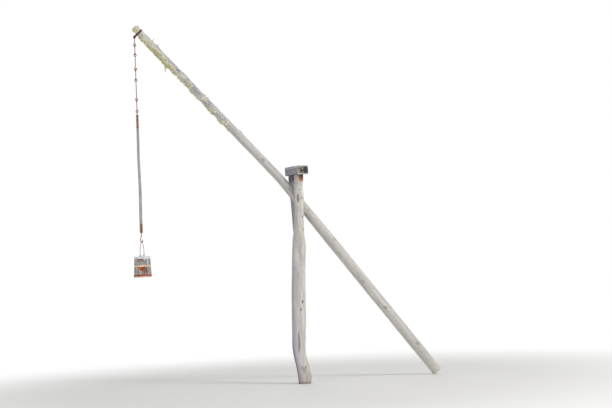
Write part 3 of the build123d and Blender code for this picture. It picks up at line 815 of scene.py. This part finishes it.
def zinc_sheet(name, rust_share, film, bare_edge=None):
    """Galvanised iron, dulled by a film of rust and rusted through in places.

    Below the height of bare_edge, where that is given, its zinc is whole.
    """
    tones = bpy.context.scene.sweep_iron
    iron = Finish(name, 0.42, 0.35)
    place = iron.place
    spangle = iron.sheet.add("ShaderNodeTexVoronoi", {}, {"Vector": place, "Scale": 210.0}, take="Color")
    tone = iron.sheet.add("ShaderNodeSeparateColor", {}, {0: spangle})
    scuffs = place.noise(40.0, 4.0)
    patches = place.noise(26.0, 5.0, 0.6) * 0.85 + place.noise(150.0) * 0.15
    edge = 0.68 - 0.36 * rust_share
    rusted = patches.between(edge - 0.035, edge + 0.035)
    if bare_edge:
        height = place.axis("z") + (scuffs - 0.5) * 0.03
        rusted = rusted * height.between(bare_edge + 0.006, bare_edge + 0.011)
    deep = place.noise(70.0).between(0.40, 0.62)
    iron.colour = iron.sheet.mix(tone * 0.30 + scuffs * 0.25, tones.zinc, tones.zinc_dull)
    iron.lay(film, tones.cream)
    iron.lay(rusted, iron.sheet.mix(deep, tones.rust_vivid, tones.rust))
    iron.height = scuffs * 0.3 + rusted * deep
    iron.feed("Roughness", rusted * 0.40 + 0.45 + scuffs * 0.1)
    iron.feed("Metallic", 0.35 - rusted * 0.25)
    return iron.done(0.0008)


# The pole's centre line and what stands on it

def pole_line(s):
    """Centre and heading of the pole at the distances s from the axle, negative towards the tip."""
    sizes = bpy.context.scene.sweep_pole
    steps = np.linspace(-sizes.tip_arm - 0.1, sizes.butt_arm + 0.1, 3001)
    turned = np.clip((-sizes.bend_start - steps) / sizes.bend_length, 0, 1)
    heading = -sizes.butt_angle + turned * sizes.bend
    step = steps[1] - steps[0]
    x = np.cumsum(np.cos(heading)) * step
    z = np.cumsum(np.sin(heading)) * step
    x -= np.interp(0.0, steps, x)
    z -= np.interp(0.0, steps, z)
    return np.interp(s, steps, x) + AXLE.x, np.interp(s, steps, z) + AXLE.z, np.interp(s, steps, heading)


def onto_pole(points):
    """Bends straight stock, which runs along X with its upper side at +Z, onto the pole's line."""
    x, z, heading = pole_line(points[:, 0])
    return np.stack((x - np.sin(heading) * points[:, 2], points[:, 1],
                     z + np.cos(heading) * points[:, 2]), axis=1)


def pole_radius(s):
    """Radius of the pole: the taper to the tip is nearly even, and the butt half swells early."""
    sizes = bpy.context.scene.sweep_pole
    tip = np.clip(-s / sizes.tip_arm, 0, 1) ** 0.8
    butt = np.clip(s / (0.3 * sizes.butt_arm), 0, 1) ** 0.7
    return (sizes.waist_radius + (sizes.tip_radius - sizes.waist_radius) * tip
            + (sizes.butt_radius - sizes.waist_radius) * butt)


def stub_root(s, turn, out=0.0):
    """The place on the straight pole's surface, or out from it, where a branch stood."""
    reach = float(pole_radius(np.array(s))) + out
    return Vector((s, -reach * math.sin(math.radians(turn)), reach * math.cos(math.radians(turn))))


def straight_pole():
    """The pole before its bend: a drawn-out cylinder with tapered arms and rings across its ends."""
    sizes = bpy.context.scene.sweep_pole
    total = sizes.tip_arm + sizes.butt_arm
    pole = primitive("cylinder", "weathered_pole", vertices=68, radius=1.0, depth=total,
                     end_fill_type="NGON", rotation=(0, math.pi / 2, 0),
                     location=((sizes.butt_arm - sizes.tip_arm) / 2, 0, 0))
    for cuts in (23, 25):
        divide_edges(pole, cuts, lambda a, b: abs(a.x - b.x) > 0.001)
    start_editing(pole)
    select_faces(pole, lambda normal: abs(normal.x) > 0.9)
    for inset in (0.06, 0.2, 0.3, 0.25):
        bpy.ops.mesh.inset(thickness=inset, use_boundary=True)
    stop_editing()
    map_points(pole, lambda p: np.stack((p[:, 0], p[:, 1] * pole_radius(p[:, 0]),
                                         p[:, 2] * pole_radius(p[:, 0])), axis=1))
    return pole


def pole_relief(place):
    """Swells, ridges along the grain, checks, and a rise round each branch stub."""
    sizes = bpy.context.scene.sweep_pole
    swells = place.drawn(x=0.35, y=0.5, z=0.5).ripple(5.0, 2.0) * sizes.swell
    ridges = place.drawn(x=0.10).ripple(34.0) * sizes.ridge
    checks = place.drawn(x=0.03).ripple(24.0, 1.0).size().between(0.03, 0.0) * sizes.check
    relief = swells + ridges - checks
    for s, turn, reach, girth in STUBS:
        near = place.distance(stub_root(s, turn), x=0.5)
        relief = relief + near.between(3.2 * girth, 0.8 * girth) * sizes.collar
    return relief


def branch_stub(s, turn, reach, girth):
    """A broken branch that stands out of the pole, leaning towards the tip."""
    sunk = 0.03
    stub = primitive("cone", "stub", vertices=14, radius1=1.25 * girth, radius2=0.8 * girth,
                     depth=reach + sunk)
    start_editing(stub)
    select_faces(stub, lambda normal: normal.z > 0.9)
    bpy.ops.mesh.inset(thickness=0.3 * girth)
    bpy.ops.transform.translate(value=(0, 0, -0.25 * girth))
    stop_editing()
    lean = Matrix.Rotation(math.radians(-18), 4, "Y")
    about = Matrix.Rotation(math.radians(turn), 4, "X")
    stub.data.transform(Matrix.Translation(stub_root(s, turn, (reach - sunk) / 2)) @ about @ lean)
    return stub


def keep_straight_place(piece):
    """Stores where each point was before the pole's bend, for the grain to follow."""
    kept = piece.data.attributes.new("straight", "FLOAT_VECTOR", "POINT")
    kept.data.foreach_set("vector", points_of(piece).ravel())


class SWEEP_OT_pole(bpy.types.Operator):
    """Makes the long pole with its branch stubs, checks and hewn cheeks"""

    bl_idname = "sweep.pole"
    bl_label = "Pole"

    def execute(self, context):
        sizes = context.scene.sweep_pole
        pole = straight_pole()
        carve(pole, pole_relief)
        cut(pole, join("stubs", [branch_stub(*stub) for stub in STUBS]), "UNION")
        for side in (-1, 1):
            cheek = primitive("cube", "cheek", size=1.0, location=(0, side * (sizes.cheek_half + 0.05), 0),
                              scale=(sizes.cheek_length, 0.1, 0.3))
            cut(pole, cheek)
        bore = primitive("cylinder", "bore", vertices=48, radius=sizes.axle_bore, depth=0.4,
                         rotation=(math.pi / 2, 0, 0))
        cut(pole, bore)
        keep_straight_place(pole)
        map_points(pole, onto_pole)
        dress(pole, pole_wood(), "sweep", "pole_wood", "sweep_pole")
        return {"FINISHED"}


# Lichen

def scatter(ground, shape, density, smallest, largest, seed):
    """Sets copies of a shape on the ground where lichen grows, and makes them one mesh."""
    def build(sheet, surface, place):
        spots = sheet.add("GeometryNodeDistributePointsOnFaces", {},
                          {"Mesh": surface, "Density": lichen_cover(place) * density, "Seed": seed})
        outwards = Value(sheet, spots.socket.node.outputs["Rotation"])
        size = sheet.add("FunctionNodeRandomValue", {"data_type": "FLOAT_VECTOR"},
                         {0: smallest, 1: largest, "Seed": seed + 1})
        turn = sheet.add("FunctionNodeRandomValue", {"data_type": "FLOAT_VECTOR"},
                         {0: (0, 0, 0), 1: (0, 0, 2 * math.pi), "Seed": seed + 2})
        upright = sheet.add("FunctionNodeRotateRotation", {"rotation_space": "LOCAL"},
                            {0: outwards, 1: turn})
        stock = sheet.add("GeometryNodeObjectInfo", {}, {"Object": shape}, take="Geometry")
        copies = sheet.add("GeometryNodeInstanceOnPoints", {},
                           {"Points": spots, "Instance": stock, "Rotation": upright, "Scale": size})
        return sheet.add("GeometryNodeRealizeInstances", {}, {0: copies})

    rework(ground, build)
    bpy.data.objects.remove(shape)


def lichen_cover(place):
    """Share of the straight pole's surface that clumps cover: most below, short of the strap."""
    along = place.axis("x")
    up = place.axis("z")
    below = up.between(0.012, -0.035)
    above = up.between(0.020, 0.042)
    patch = place.noise(10.0).between(0.46, 0.57)
    short_of_strap = along.between(-3.72, -3.66)
    past_strap = along.between(-3.79, -3.81)
    thick = along.between(-2.98, -3.14) * along.between(-3.64, -3.50)
    thin = along.between(-1.2, -2.5) * short_of_strap
    tip = (along.between(-3.48, -3.62) * short_of_strap + past_strap) * (1.0 - above * 0.85)
    return below * (thick * (patch * 0.35 + 0.65) + thin * patch * 0.45) + (thin * 0.07 + tip * 0.30) * patch


def lichen_clump():
    """A lumpy ball of radius one."""
    clump = primitive("uv_sphere", "clump", segments=9, ring_count=5, radius=1.0)
    map_points(clump, lambda p: p * (1.0 + 0.22 * np.sin(4.0 * p[:, :1] + 2.0 * p[:, 1:2])
                                     * np.cos(3.0 * p[:, 1:2] - p[:, 2:])))
    return clump


def lichen_tuft():
    """A bush of thin bent prongs that spread upwards from the origin, one unit high."""
    numbers = np.random.default_rng(5)
    prongs = []
    for turn in np.linspace(0, 2 * math.pi, 6, endpoint=False):
        prong = primitive("cone", "prong", vertices=4, radius1=0.18, radius2=0.07, depth=1.0,
                          location=(0, 0, 0.5))
        divide_edges(prong, 1, lambda a, b: abs(a.z - b.z) > 0.5)
        tall = numbers.uniform(0.6, 1.0)
        spread = numbers.uniform(0.3, 0.9)
        about = turn + numbers.uniform(0, 0.8)

        def bend(points):
            moved = points.copy()
            out = spread * np.clip(points[:, 2], 0, 1) ** 0.7
            moved[:, 0] += out * math.cos(about)
            moved[:, 1] += out * math.sin(about)
            moved[:, 2] *= tall
            return moved

        map_points(prong, bend)
        prongs.append(prong)
    return join("tuft", prongs)


def beard_strand(numbers):
    """A thin wavy strand that hangs from the origin."""
    drop = bpy.context.scene.sweep_pole.beard * numbers.uniform(0.45, 1.0)
    strand = primitive("cone", "strand", vertices=5, radius1=0.0005, radius2=0.0032, depth=drop,
                       location=(0, 0, -drop / 2))
    divide_edges(strand, 9, lambda a, b: abs(a.z - b.z) > 0.5 * drop)
    sway = numbers.uniform(0.002, 0.006)
    phase = numbers.uniform(0, 6.3)
    lean = numbers.normal(0, 0.10)
    start = numbers.normal(0, 0.010, 2)

    def hang(points):
        share_down = -points[:, 2] / drop
        gathered = 1.0 - 0.55 * share_down
        moved = points.copy()
        moved[:, 0] += start[0] * gathered + sway * np.sin(9 * share_down + phase) * share_down
        moved[:, 1] += start[1] * gathered + sway * np.cos(7 * share_down + phase) * share_down
        moved[:, 0] += lean * drop * share_down * (1 - share_down) * 0.5
        return moved

    map_points(strand, hang)
    return strand


def beard_root():
    """The point just inside the pole's lower side, near the tip, that the beard hangs from."""
    s = -bpy.context.scene.sweep_pole.beard_arm
    x, z, heading = (float(value) for value in pole_line(np.array(s)))
    low = float(pole_radius(np.array(s))) - 0.012
    return Vector((x + math.sin(heading) * low, 0.0, z - math.cos(heading) * low))


class SWEEP_OT_lichen(bpy.types.Operator):
    """Grows clumps of lichen on the pole's tip half, thickest on its lower side, and a hanging beard"""

    bl_idname = "sweep.lichen"
    bl_label = "Lichen"

    def execute(self, context):
        sizes = context.scene.sweep_pole
        clump = lichen_clump()
        crusts, tufts = straight_pole(), straight_pole()
        largest = (sizes.clump, sizes.clump, 0.40 * sizes.clump)
        scatter(crusts, clump, 7000.0, tuple(0.22 * size for size in largest), largest, 7)
        carve(crusts, lambda place: place.ripple(110.0) * 0.009)
        scatter(tufts, lichen_tuft(), 5000.0, (0.3 * sizes.tuft,) * 3, (sizes.tuft,) * 3, 17)
        crusts = join("lichen_clumps", [crusts, tufts])
        keep_straight_place(crusts)
        map_points(crusts, onto_pole)
        numbers = np.random.default_rng(11)
        beard = join("lichen_beard", [beard_strand(numbers) for strand in range(sizes.strands)])
        beard.data.transform(Matrix.Translation(beard_root()))
        material = lichen_crust()
        for piece in (crusts, beard):
            dress(piece, material, "sweep", "pole_wood")
        return {"FINISHED"}


# Post

class SWEEP_OT_trunk(bpy.types.Operator):
    """Makes the forked trunk from its rough stock"""

    bl_idname = "sweep.trunk"
    bl_label = "Trunk"

    def execute(self, context):
        sizes = context.scene.sweep_post
        trunk = rough_out("trunk", "forked_trunk", sizes.grid, 12)

        def relief(place):
            flutes = place.drawn(z=0.12).ripple(13.0, 2.0) * 2.0 * sizes.flute
            ripples = place.drawn(z=0.12).ripple(60.0) * 2.0 * sizes.ripple
            lumps = place.drawn(z=0.5).ripple(6.0, 2.0) * sizes.flute
            rise = place.axis("z")
            away_from_ends = rise.between(0.0, 0.05) * rise.between(CAP_LOW, CAP_LOW - 0.05)
            return (flutes + ripples + lumps) * away_from_ends

        carve(trunk, relief)
        dress(trunk, trunk_wood(), "post", "trunk_wood", "trunk")
        return {"FINISHED"}


class SWEEP_OT_cap(bpy.types.Operator):
    """Makes the hewn cap with its mortises"""

    bl_idname = "sweep.cap"
    bl_label = "Cap"

    def execute(self, context):
        sizes = context.scene.sweep_post
        cap = rough_out("cap", "hewn_cap", sizes.cap_grid, 4)

        def relief(place):
            marks = place.drawn(y=0.30).ripple(11.0, 1.0)
            rough = place.ripple(48.0)
            checks = place.drawn(y=0.12).ripple(22.0, 1.0).size().between(0.03, 0.0)
            return marks * 2.0 * sizes.hewing + rough * sizes.hewing - checks * sizes.check

        carve(cap, relief)
        dress(cap, cap_wood(), "post", "cap_wood", "cap")
        return {"FINISHED"}


class SWEEP_OT_axle(bpy.types.Operator):
    """Makes the wooden axle pin"""

    bl_idname = "sweep.axle"
    bl_label = "Axle"

    def execute(self, context):
        axle = rough_out("axle_pin", "worn_axle", context.scene.sweep_post.axle_grid, 3)
        dress(axle, axle_wood(), "post", "axle_wood", "axle_pin")
        return {"FINISHED"}


# Irons

def forge(node, name, body, material, grid, passes=3):
    """Works a node's rough stock into a worn and pitted forging."""
    pits = bpy.context.scene.sweep_iron_sizes.pits
    piece = rough_out(node, name, grid, passes)
    carve(piece, lambda place: place.ripple(110.0) * 2.0 * pits)
    dress(piece, material, body, "rusty_iron", node)


class SWEEP_OT_irons(bpy.types.Operator):
    """Makes the spikes, the tip strap with its bolt, the chain, the rod's irons, the ears and the bail"""

    bl_idname = "sweep.irons"
    bl_label = "Irons"

    def execute(self, context):
        sizes = context.scene.sweep_iron_sizes
        old = rusty_iron("rusty_iron", 0.5)
        red = rusty_iron("red_rust", 0.2, 0.7)
        bright = rusty_iron("bright_rust", 1.0)
        ear = zinc_sheet("ear_iron", 0.20, 0.30)
        for end in ("front", "rear"):
            forge("cap_spike_" + end, "spike_" + end, "post", old, sizes.grid)
            forge("ear_" + end, "bail_ear_" + end, "bucket", ear, sizes.ear_grid)
        for node, name in (
            ("tip_strap", "strap_band"),
            ("strap_bolt", "strap_pin"),
            ("strap_nut", "strap_washer"),
        ):
            forge(node, name, "sweep", red, sizes.strap_grid)
        for number in range(1, LINKS + 1):
            forge(f"chain_link_{number}", f"forged_link_{number}", "chain", old, sizes.grid, passes=5)
        for end, material in (("eye", bright), ("hook", old)):
            forge("rod_" + end, end + "_iron", "rod", material, sizes.thin_grid)
            forge(end + "_rivets", end + "_nails", "rod", material, sizes.thin_grid)
        forge("bail", "bent_bail", "bail", old, sizes.thin_grid, passes=6)
        return {"FINISHED"}


# Rod

class SWEEP_OT_rod(bpy.types.Operator):
    """Makes the wooden rod, with a slight natural bow between its irons"""

    bl_idname = "sweep.rod"
    bl_label = "Rod"

    def execute(self, context):
        sizes = context.scene.sweep_rod
        rod = rough_out("rod", "weathered_rod", sizes.grid, 4)
        low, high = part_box("rod")
        straight_low, straight_high = 0.1, 0.26

        def bow(points):
            bowed = high.z - low.z - straight_low - straight_high
            share_up = np.clip((points[:, 2] - low.z - straight_low) / bowed, 0, 1)
            sway = np.sin(math.pi * share_up) ** 2
            moved = points.copy()
            moved[:, 0] += sizes.bow * sway * np.sin(5.0 * share_up)
            moved[:, 1] += sizes.side_bow * sway
            return moved

        map_points(rod, bow)
        carve(rod, lambda place: place.drawn(z=0.1).ripple(70.0, 2.0) * sizes.ridge)
        dress(rod, rod_wood(), "rod", "rod_wood", "rod")
        return {"FINISHED"}


# Bucket

def bucket_radius(z):
    sizes = bpy.context.scene.sweep_bucket
    slope = (sizes.base_radius - sizes.rim_radius) / (RIM_Z - BASE_Z)
    return sizes.rim_radius + (RIM_Z - z) * slope


def round_bucket(points):
    """Wraps flat stock round the bucket: X runs round it as an angle, Y out from its staves, Z up."""
    turn, out, z = points.T
    reach = bucket_radius(z) + out
    return np.stack((BOLT.x + reach * np.cos(turn), reach * np.sin(turn), z), axis=1)


class SWEEP_OT_staves(bpy.types.Operator):
    """Makes the twelve staves with worn edges"""

    bl_idname = "sweep.staves"
    bl_label = "Staves"

    def execute(self, context):
        sizes = context.scene.sweep_bucket
        material = stave_wood()
        for number in range(1, STAVES + 1):
            node = f"stave_{number:02d}"
            stave = rough_out(node, "worn_" + node, sizes.stave_grid, 2)
            carve(stave, lambda place: place.drawn(z=0.12).ripple(55.0, 2.0) * sizes.ridge)
            dress(stave, material, "bucket", "stave_wood", node)
        return {"FINISHED"}


class SWEEP_OT_bottom(bpy.types.Operator):
    """Makes the bottom of the bucket from boards"""

    bl_idname = "sweep.bottom"
    bl_label = "Bottom"

    def execute(self, context):
        sizes = context.scene.sweep_bucket
        low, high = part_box("bucket_bottom")
        radius = (high.y - low.y) / 2
        width = 2 * radius / sizes.boards
        half_gap = 0.0006
        boards = []
        for number in range(sizes.boards):
            board = primitive("cylinder", "board", vertices=72, radius=radius - 0.0005,
                              depth=high.z - low.z, location=(BOLT.x, 0, (high.z + low.z) / 2))
            near = -radius + number * width
            for cut_y, side in ((near + half_gap, 1), (near + width - half_gap, -1)):
                start_editing(board)
                bpy.ops.mesh.select_all(action="SELECT")
                bpy.ops.mesh.bisect(plane_co=(0, cut_y, 0), plane_no=(0, side, 0), use_fill=True,
                                    clear_inner=True)
                stop_editing()
            finish_with(board, "BEVEL", width=0.0012, segments=2, angle_limit=math.radians(40))
            boards.append(board)
        bottom = join("bottom_boards", boards)
        dress(bottom, bottom_wood(), "bucket", "stave_wood", "bucket_bottom")
        return {"FINISHED"}


def rivet_head(turn, z, out):
    """A low round head at a turn and a height on the bucket, out from its middle."""
    head = primitive("uv_sphere", "head", segments=12, ring_count=8,
                     radius=bpy.context.scene.sweep_bucket.head, scale=(1, 0.5, 1))
    spin = Matrix.Rotation(turn - math.pi / 2, 4, "Z")
    head.data.transform(Matrix.Translation((BOLT.x, 0, z)) @ spin @ Matrix.Translation((0, out, 0)))
    return head


def hoop_band(name, low, high, lap_turn):
    """A hoop of flat iron with a lapped and riveted joint, wrapped round the staves."""
    sizes = bpy.context.scene.sweep_bucket
    stand_off = 0.00015
    strip = primitive("cube", name, size=1.0,
                      scale=(2 * math.pi + sizes.lap, sizes.hoop_thickness, high - low),
                      location=(math.pi + lap_turn, stand_off + sizes.hoop_thickness / 2, (low + high) / 2))
    divide_edges(strip, 95, lambda a, b: abs(a.x - b.x) > 1.0)
    divide_edges(strip, 3, lambda a, b: abs(a.z - b.z) > 0.01)
    end = math.pi + lap_turn + math.pi + sizes.lap / 2

    def lay_over(points):
        """Lifts the last stretch of the strip over the first, and makes its edges uneven."""
        lifted = points.copy()
        rise = np.clip((points[:, 0] - (end - 1.5 * sizes.lap)) / (0.4 * sizes.lap), 0, 1)
        lifted[:, 1] += rise * (sizes.hoop_thickness + 0.0001)
        wave = 0.0008 * np.sin(5 * points[:, 0]) * np.sin(3.1 * points[:, 0] + low * 40)
        lifted[:, 2] += wave * np.sign(points[:, 2] - (low + high) / 2) * 0.5
        return lifted

    map_points(strip, lay_over)
    map_points(strip, round_bucket)
    finish_with(strip, "BEVEL", width=0.0004, segments=1, angle_limit=math.radians(50))
    heads = []
    for turn in (end - 0.62 * sizes.lap, end - 0.30 * sizes.lap):
        for z in (low + 0.28 * (high - low), low + 0.72 * (high - low)):
            heads.append(rivet_head(turn, z, bucket_radius(z) + stand_off + 2 * sizes.hoop_thickness))
    return join(name, [strip] + heads)


class SWEEP_OT_hoops(bpy.types.Operator):
    """Makes the three lapped and riveted hoops"""

    bl_idname = "sweep.hoops"
    bl_label = "Hoops"

    def execute(self, context):
        for node, turn, rust, film, slot in (
            ("top_hoop", 0.9, 0.0, 0.0, "galvanised_iron"),
            ("middle_hoop", 2.2, 0.28, 0.90, "hoop_iron"),
            ("bottom_hoop", 3.3, 1.0, 0.75, "hoop_iron"),
        ):
            low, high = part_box(node)
            name = "lapped_" + node
            hoop = hoop_band(name, low.z, high.z, turn)
            edge = low.z if node == "bottom_hoop" else None
            dress(hoop, zinc_sheet(name + "_iron", rust, film, edge), "bucket", slot, node)
        return {"FINISHED"}


# Stage

def seen_directly(sheet):
    """1 for rays from the camera, off gloss or through glass, and 0 for those that light the object."""
    camera, gloss, glass = (
        sheet.add("ShaderNodeLightPath", take=f"Is {kind} Ray")
        for kind in ("Camera", "Glossy", "Transmission")
    )
    return sheet.maths("MAXIMUM", camera, sheet.maths("MAXIMUM", gloss, glass))


def add_camera(sizes):
    """Puts the camera at its place, turned from its heading, pitch and roll."""
    deselect_everything()
    bpy.ops.object.camera_add(location=sizes.eye)
    camera = bpy.context.object
    level = Vector((math.sin(sizes.heading), math.cos(sizes.heading), 0))
    forward = level * math.cos(sizes.pitch) + UP * math.sin(sizes.pitch)
    over = forward.cross(UP).normalized()
    above = over.cross(forward)
    right = over * math.cos(sizes.roll) - above * math.sin(sizes.roll)
    top = over * math.sin(sizes.roll) + above * math.cos(sizes.roll)
    camera.rotation_euler = Matrix((right, top, -forward)).transposed().to_euler()
    camera.data.lens = sizes.lens
    camera.data.sensor_width = 36.0
    camera.data.sensor_fit = "HORIZONTAL"
    camera.data.clip_end = 200.0
    return camera


def add_floor(sizes):
    """Lays a pale floor that takes shadows near the post and fades to white far from it."""
    ground = primitive("plane", "floor", size=160.0, location=(0, 20, 0))
    paint = Finish("floor_paint", 0.95)
    paint.shader.inputs["Base Color"].default_value = (*sizes.floor, 1.0)
    paint.shader.inputs["Specular IOR Level"].default_value = 0.1
    away = paint.place.distance((0.0, 0.0, 0.0))
    white = paint.sheet.add("ShaderNodeEmission", {}, {"Color": (1.0, 1.0, 1.0), "Strength": 1.0})
    faded = paint.sheet.add("ShaderNodeMixShader", {}, {
        0: away.between(sizes.floor_start, sizes.floor_end) * seen_directly(paint.sheet),
        1: Value(paint.sheet, paint.shader.outputs[0]),
        2: white,
    })
    paint.sheet.feed(paint.material.node_tree.nodes["Material Output"], "Surface", faded)
    ground.data.materials.append(paint.material)


def add_sky(sizes):
    """Lights the object softly from all round, in front of a white background."""
    world = bpy.data.worlds.new("soft_white")
    world.use_nodes = True
    sheet = Sheet(world.node_tree)
    background = world.node_tree.nodes["Background"]
    background.inputs["Color"].default_value = (1.0, 1.0, 1.0, 1.0)
    sheet.feed(background, "Strength", seen_directly(sheet) * (1.0 - sizes.sky) + sizes.sky)
    return world


def add_lamps():
    """Adds three large soft lamps that face the fork's height over the origin."""
    aim = Vector((0, 0, 2.6))
    for name, place, size, power, tint in (
        ("key", (9.0, -13.0, 12.0), 5.0, 1500.0, (1.0, 0.975, 0.94)),
        ("fill", (-13.0, -9.0, 7.0), 9.0, 300.0, (0.93, 0.96, 1.0)),
        ("back", (2.0, 14.0, 10.0), 8.0, 420.0, (1.0, 1.0, 1.0)),
    ):
        deselect_everything()
        bpy.ops.object.light_add(type="AREA", location=place)
        lamp = bpy.context.object
        lamp.name = name
        lamp.data.size = size
        lamp.data.energy = power
        lamp.data.color = tint
        lamp.rotation_euler = (aim - Vector(place)).to_track_quat("-Z", "Y").to_euler()


class SWEEP_OT_stage(bpy.types.Operator):
    """Sets up the camera, the floor, the soft lights and the white background"""

    bl_idname = "sweep.stage"
    bl_label = "Stage"

    def execute(self, context):
        sizes = context.scene.sweep_stage
        context.scene.camera = add_camera(sizes)
        add_floor(sizes)
        context.scene.world = add_sky(sizes)
        add_lamps()
        context.scene.view_settings.view_transform = "Standard"
        return {"FINISHED"}


class SWEEP_PT_panel(bpy.types.Panel):
    """Lists the steps that dress the well sweep"""

    bl_idname = "SWEEP_PT_panel"
    bl_label = "Well sweep"
    bl_space_type = "VIEW_3D"
    bl_region_type = "UI"
    bl_category = "Well sweep"

    def draw(self, context):
        for step in STEPS:
            self.layout.operator(step.bl_idname)


STEPS = (
    SWEEP_OT_pole,
    SWEEP_OT_lichen,
    SWEEP_OT_trunk,
    SWEEP_OT_cap,
    SWEEP_OT_axle,
    SWEEP_OT_irons,
    SWEEP_OT_rod,
    SWEEP_OT_staves,
    SWEEP_OT_bottom,
    SWEEP_OT_hoops,
    SWEEP_OT_stage,
)
GROUPS = {
    "sweep_wood": WoodLook,
    "sweep_iron": IronLook,
    "sweep_post": PostSizes,
    "sweep_pole": PoleSizes,
    "sweep_iron_sizes": IronSizes,
    "sweep_rod": RodSizes,
    "sweep_bucket": BucketSizes,
    "sweep_stage": StageSizes,
}


def register():
    for kind in (*GROUPS.values(), *STEPS, SWEEP_PT_panel):
        bpy.utils.register_class(kind)
    for name, kind in GROUPS.items():
        setattr(bpy.types.Scene, name, bpy.props.PointerProperty(type=kind))


def unregister():
    for name in GROUPS:
        delattr(bpy.types.Scene, name)
    for kind in (SWEEP_PT_panel, *reversed(STEPS), *GROUPS.values()):
        bpy.utils.unregister_class(kind)


def main():
    register()
    for step in STEPS:
        getattr(bpy.ops.sweep, step.bl_idname.split(".")[1])()
    deselect_everything()


if __name__ == "__main__":
    main()
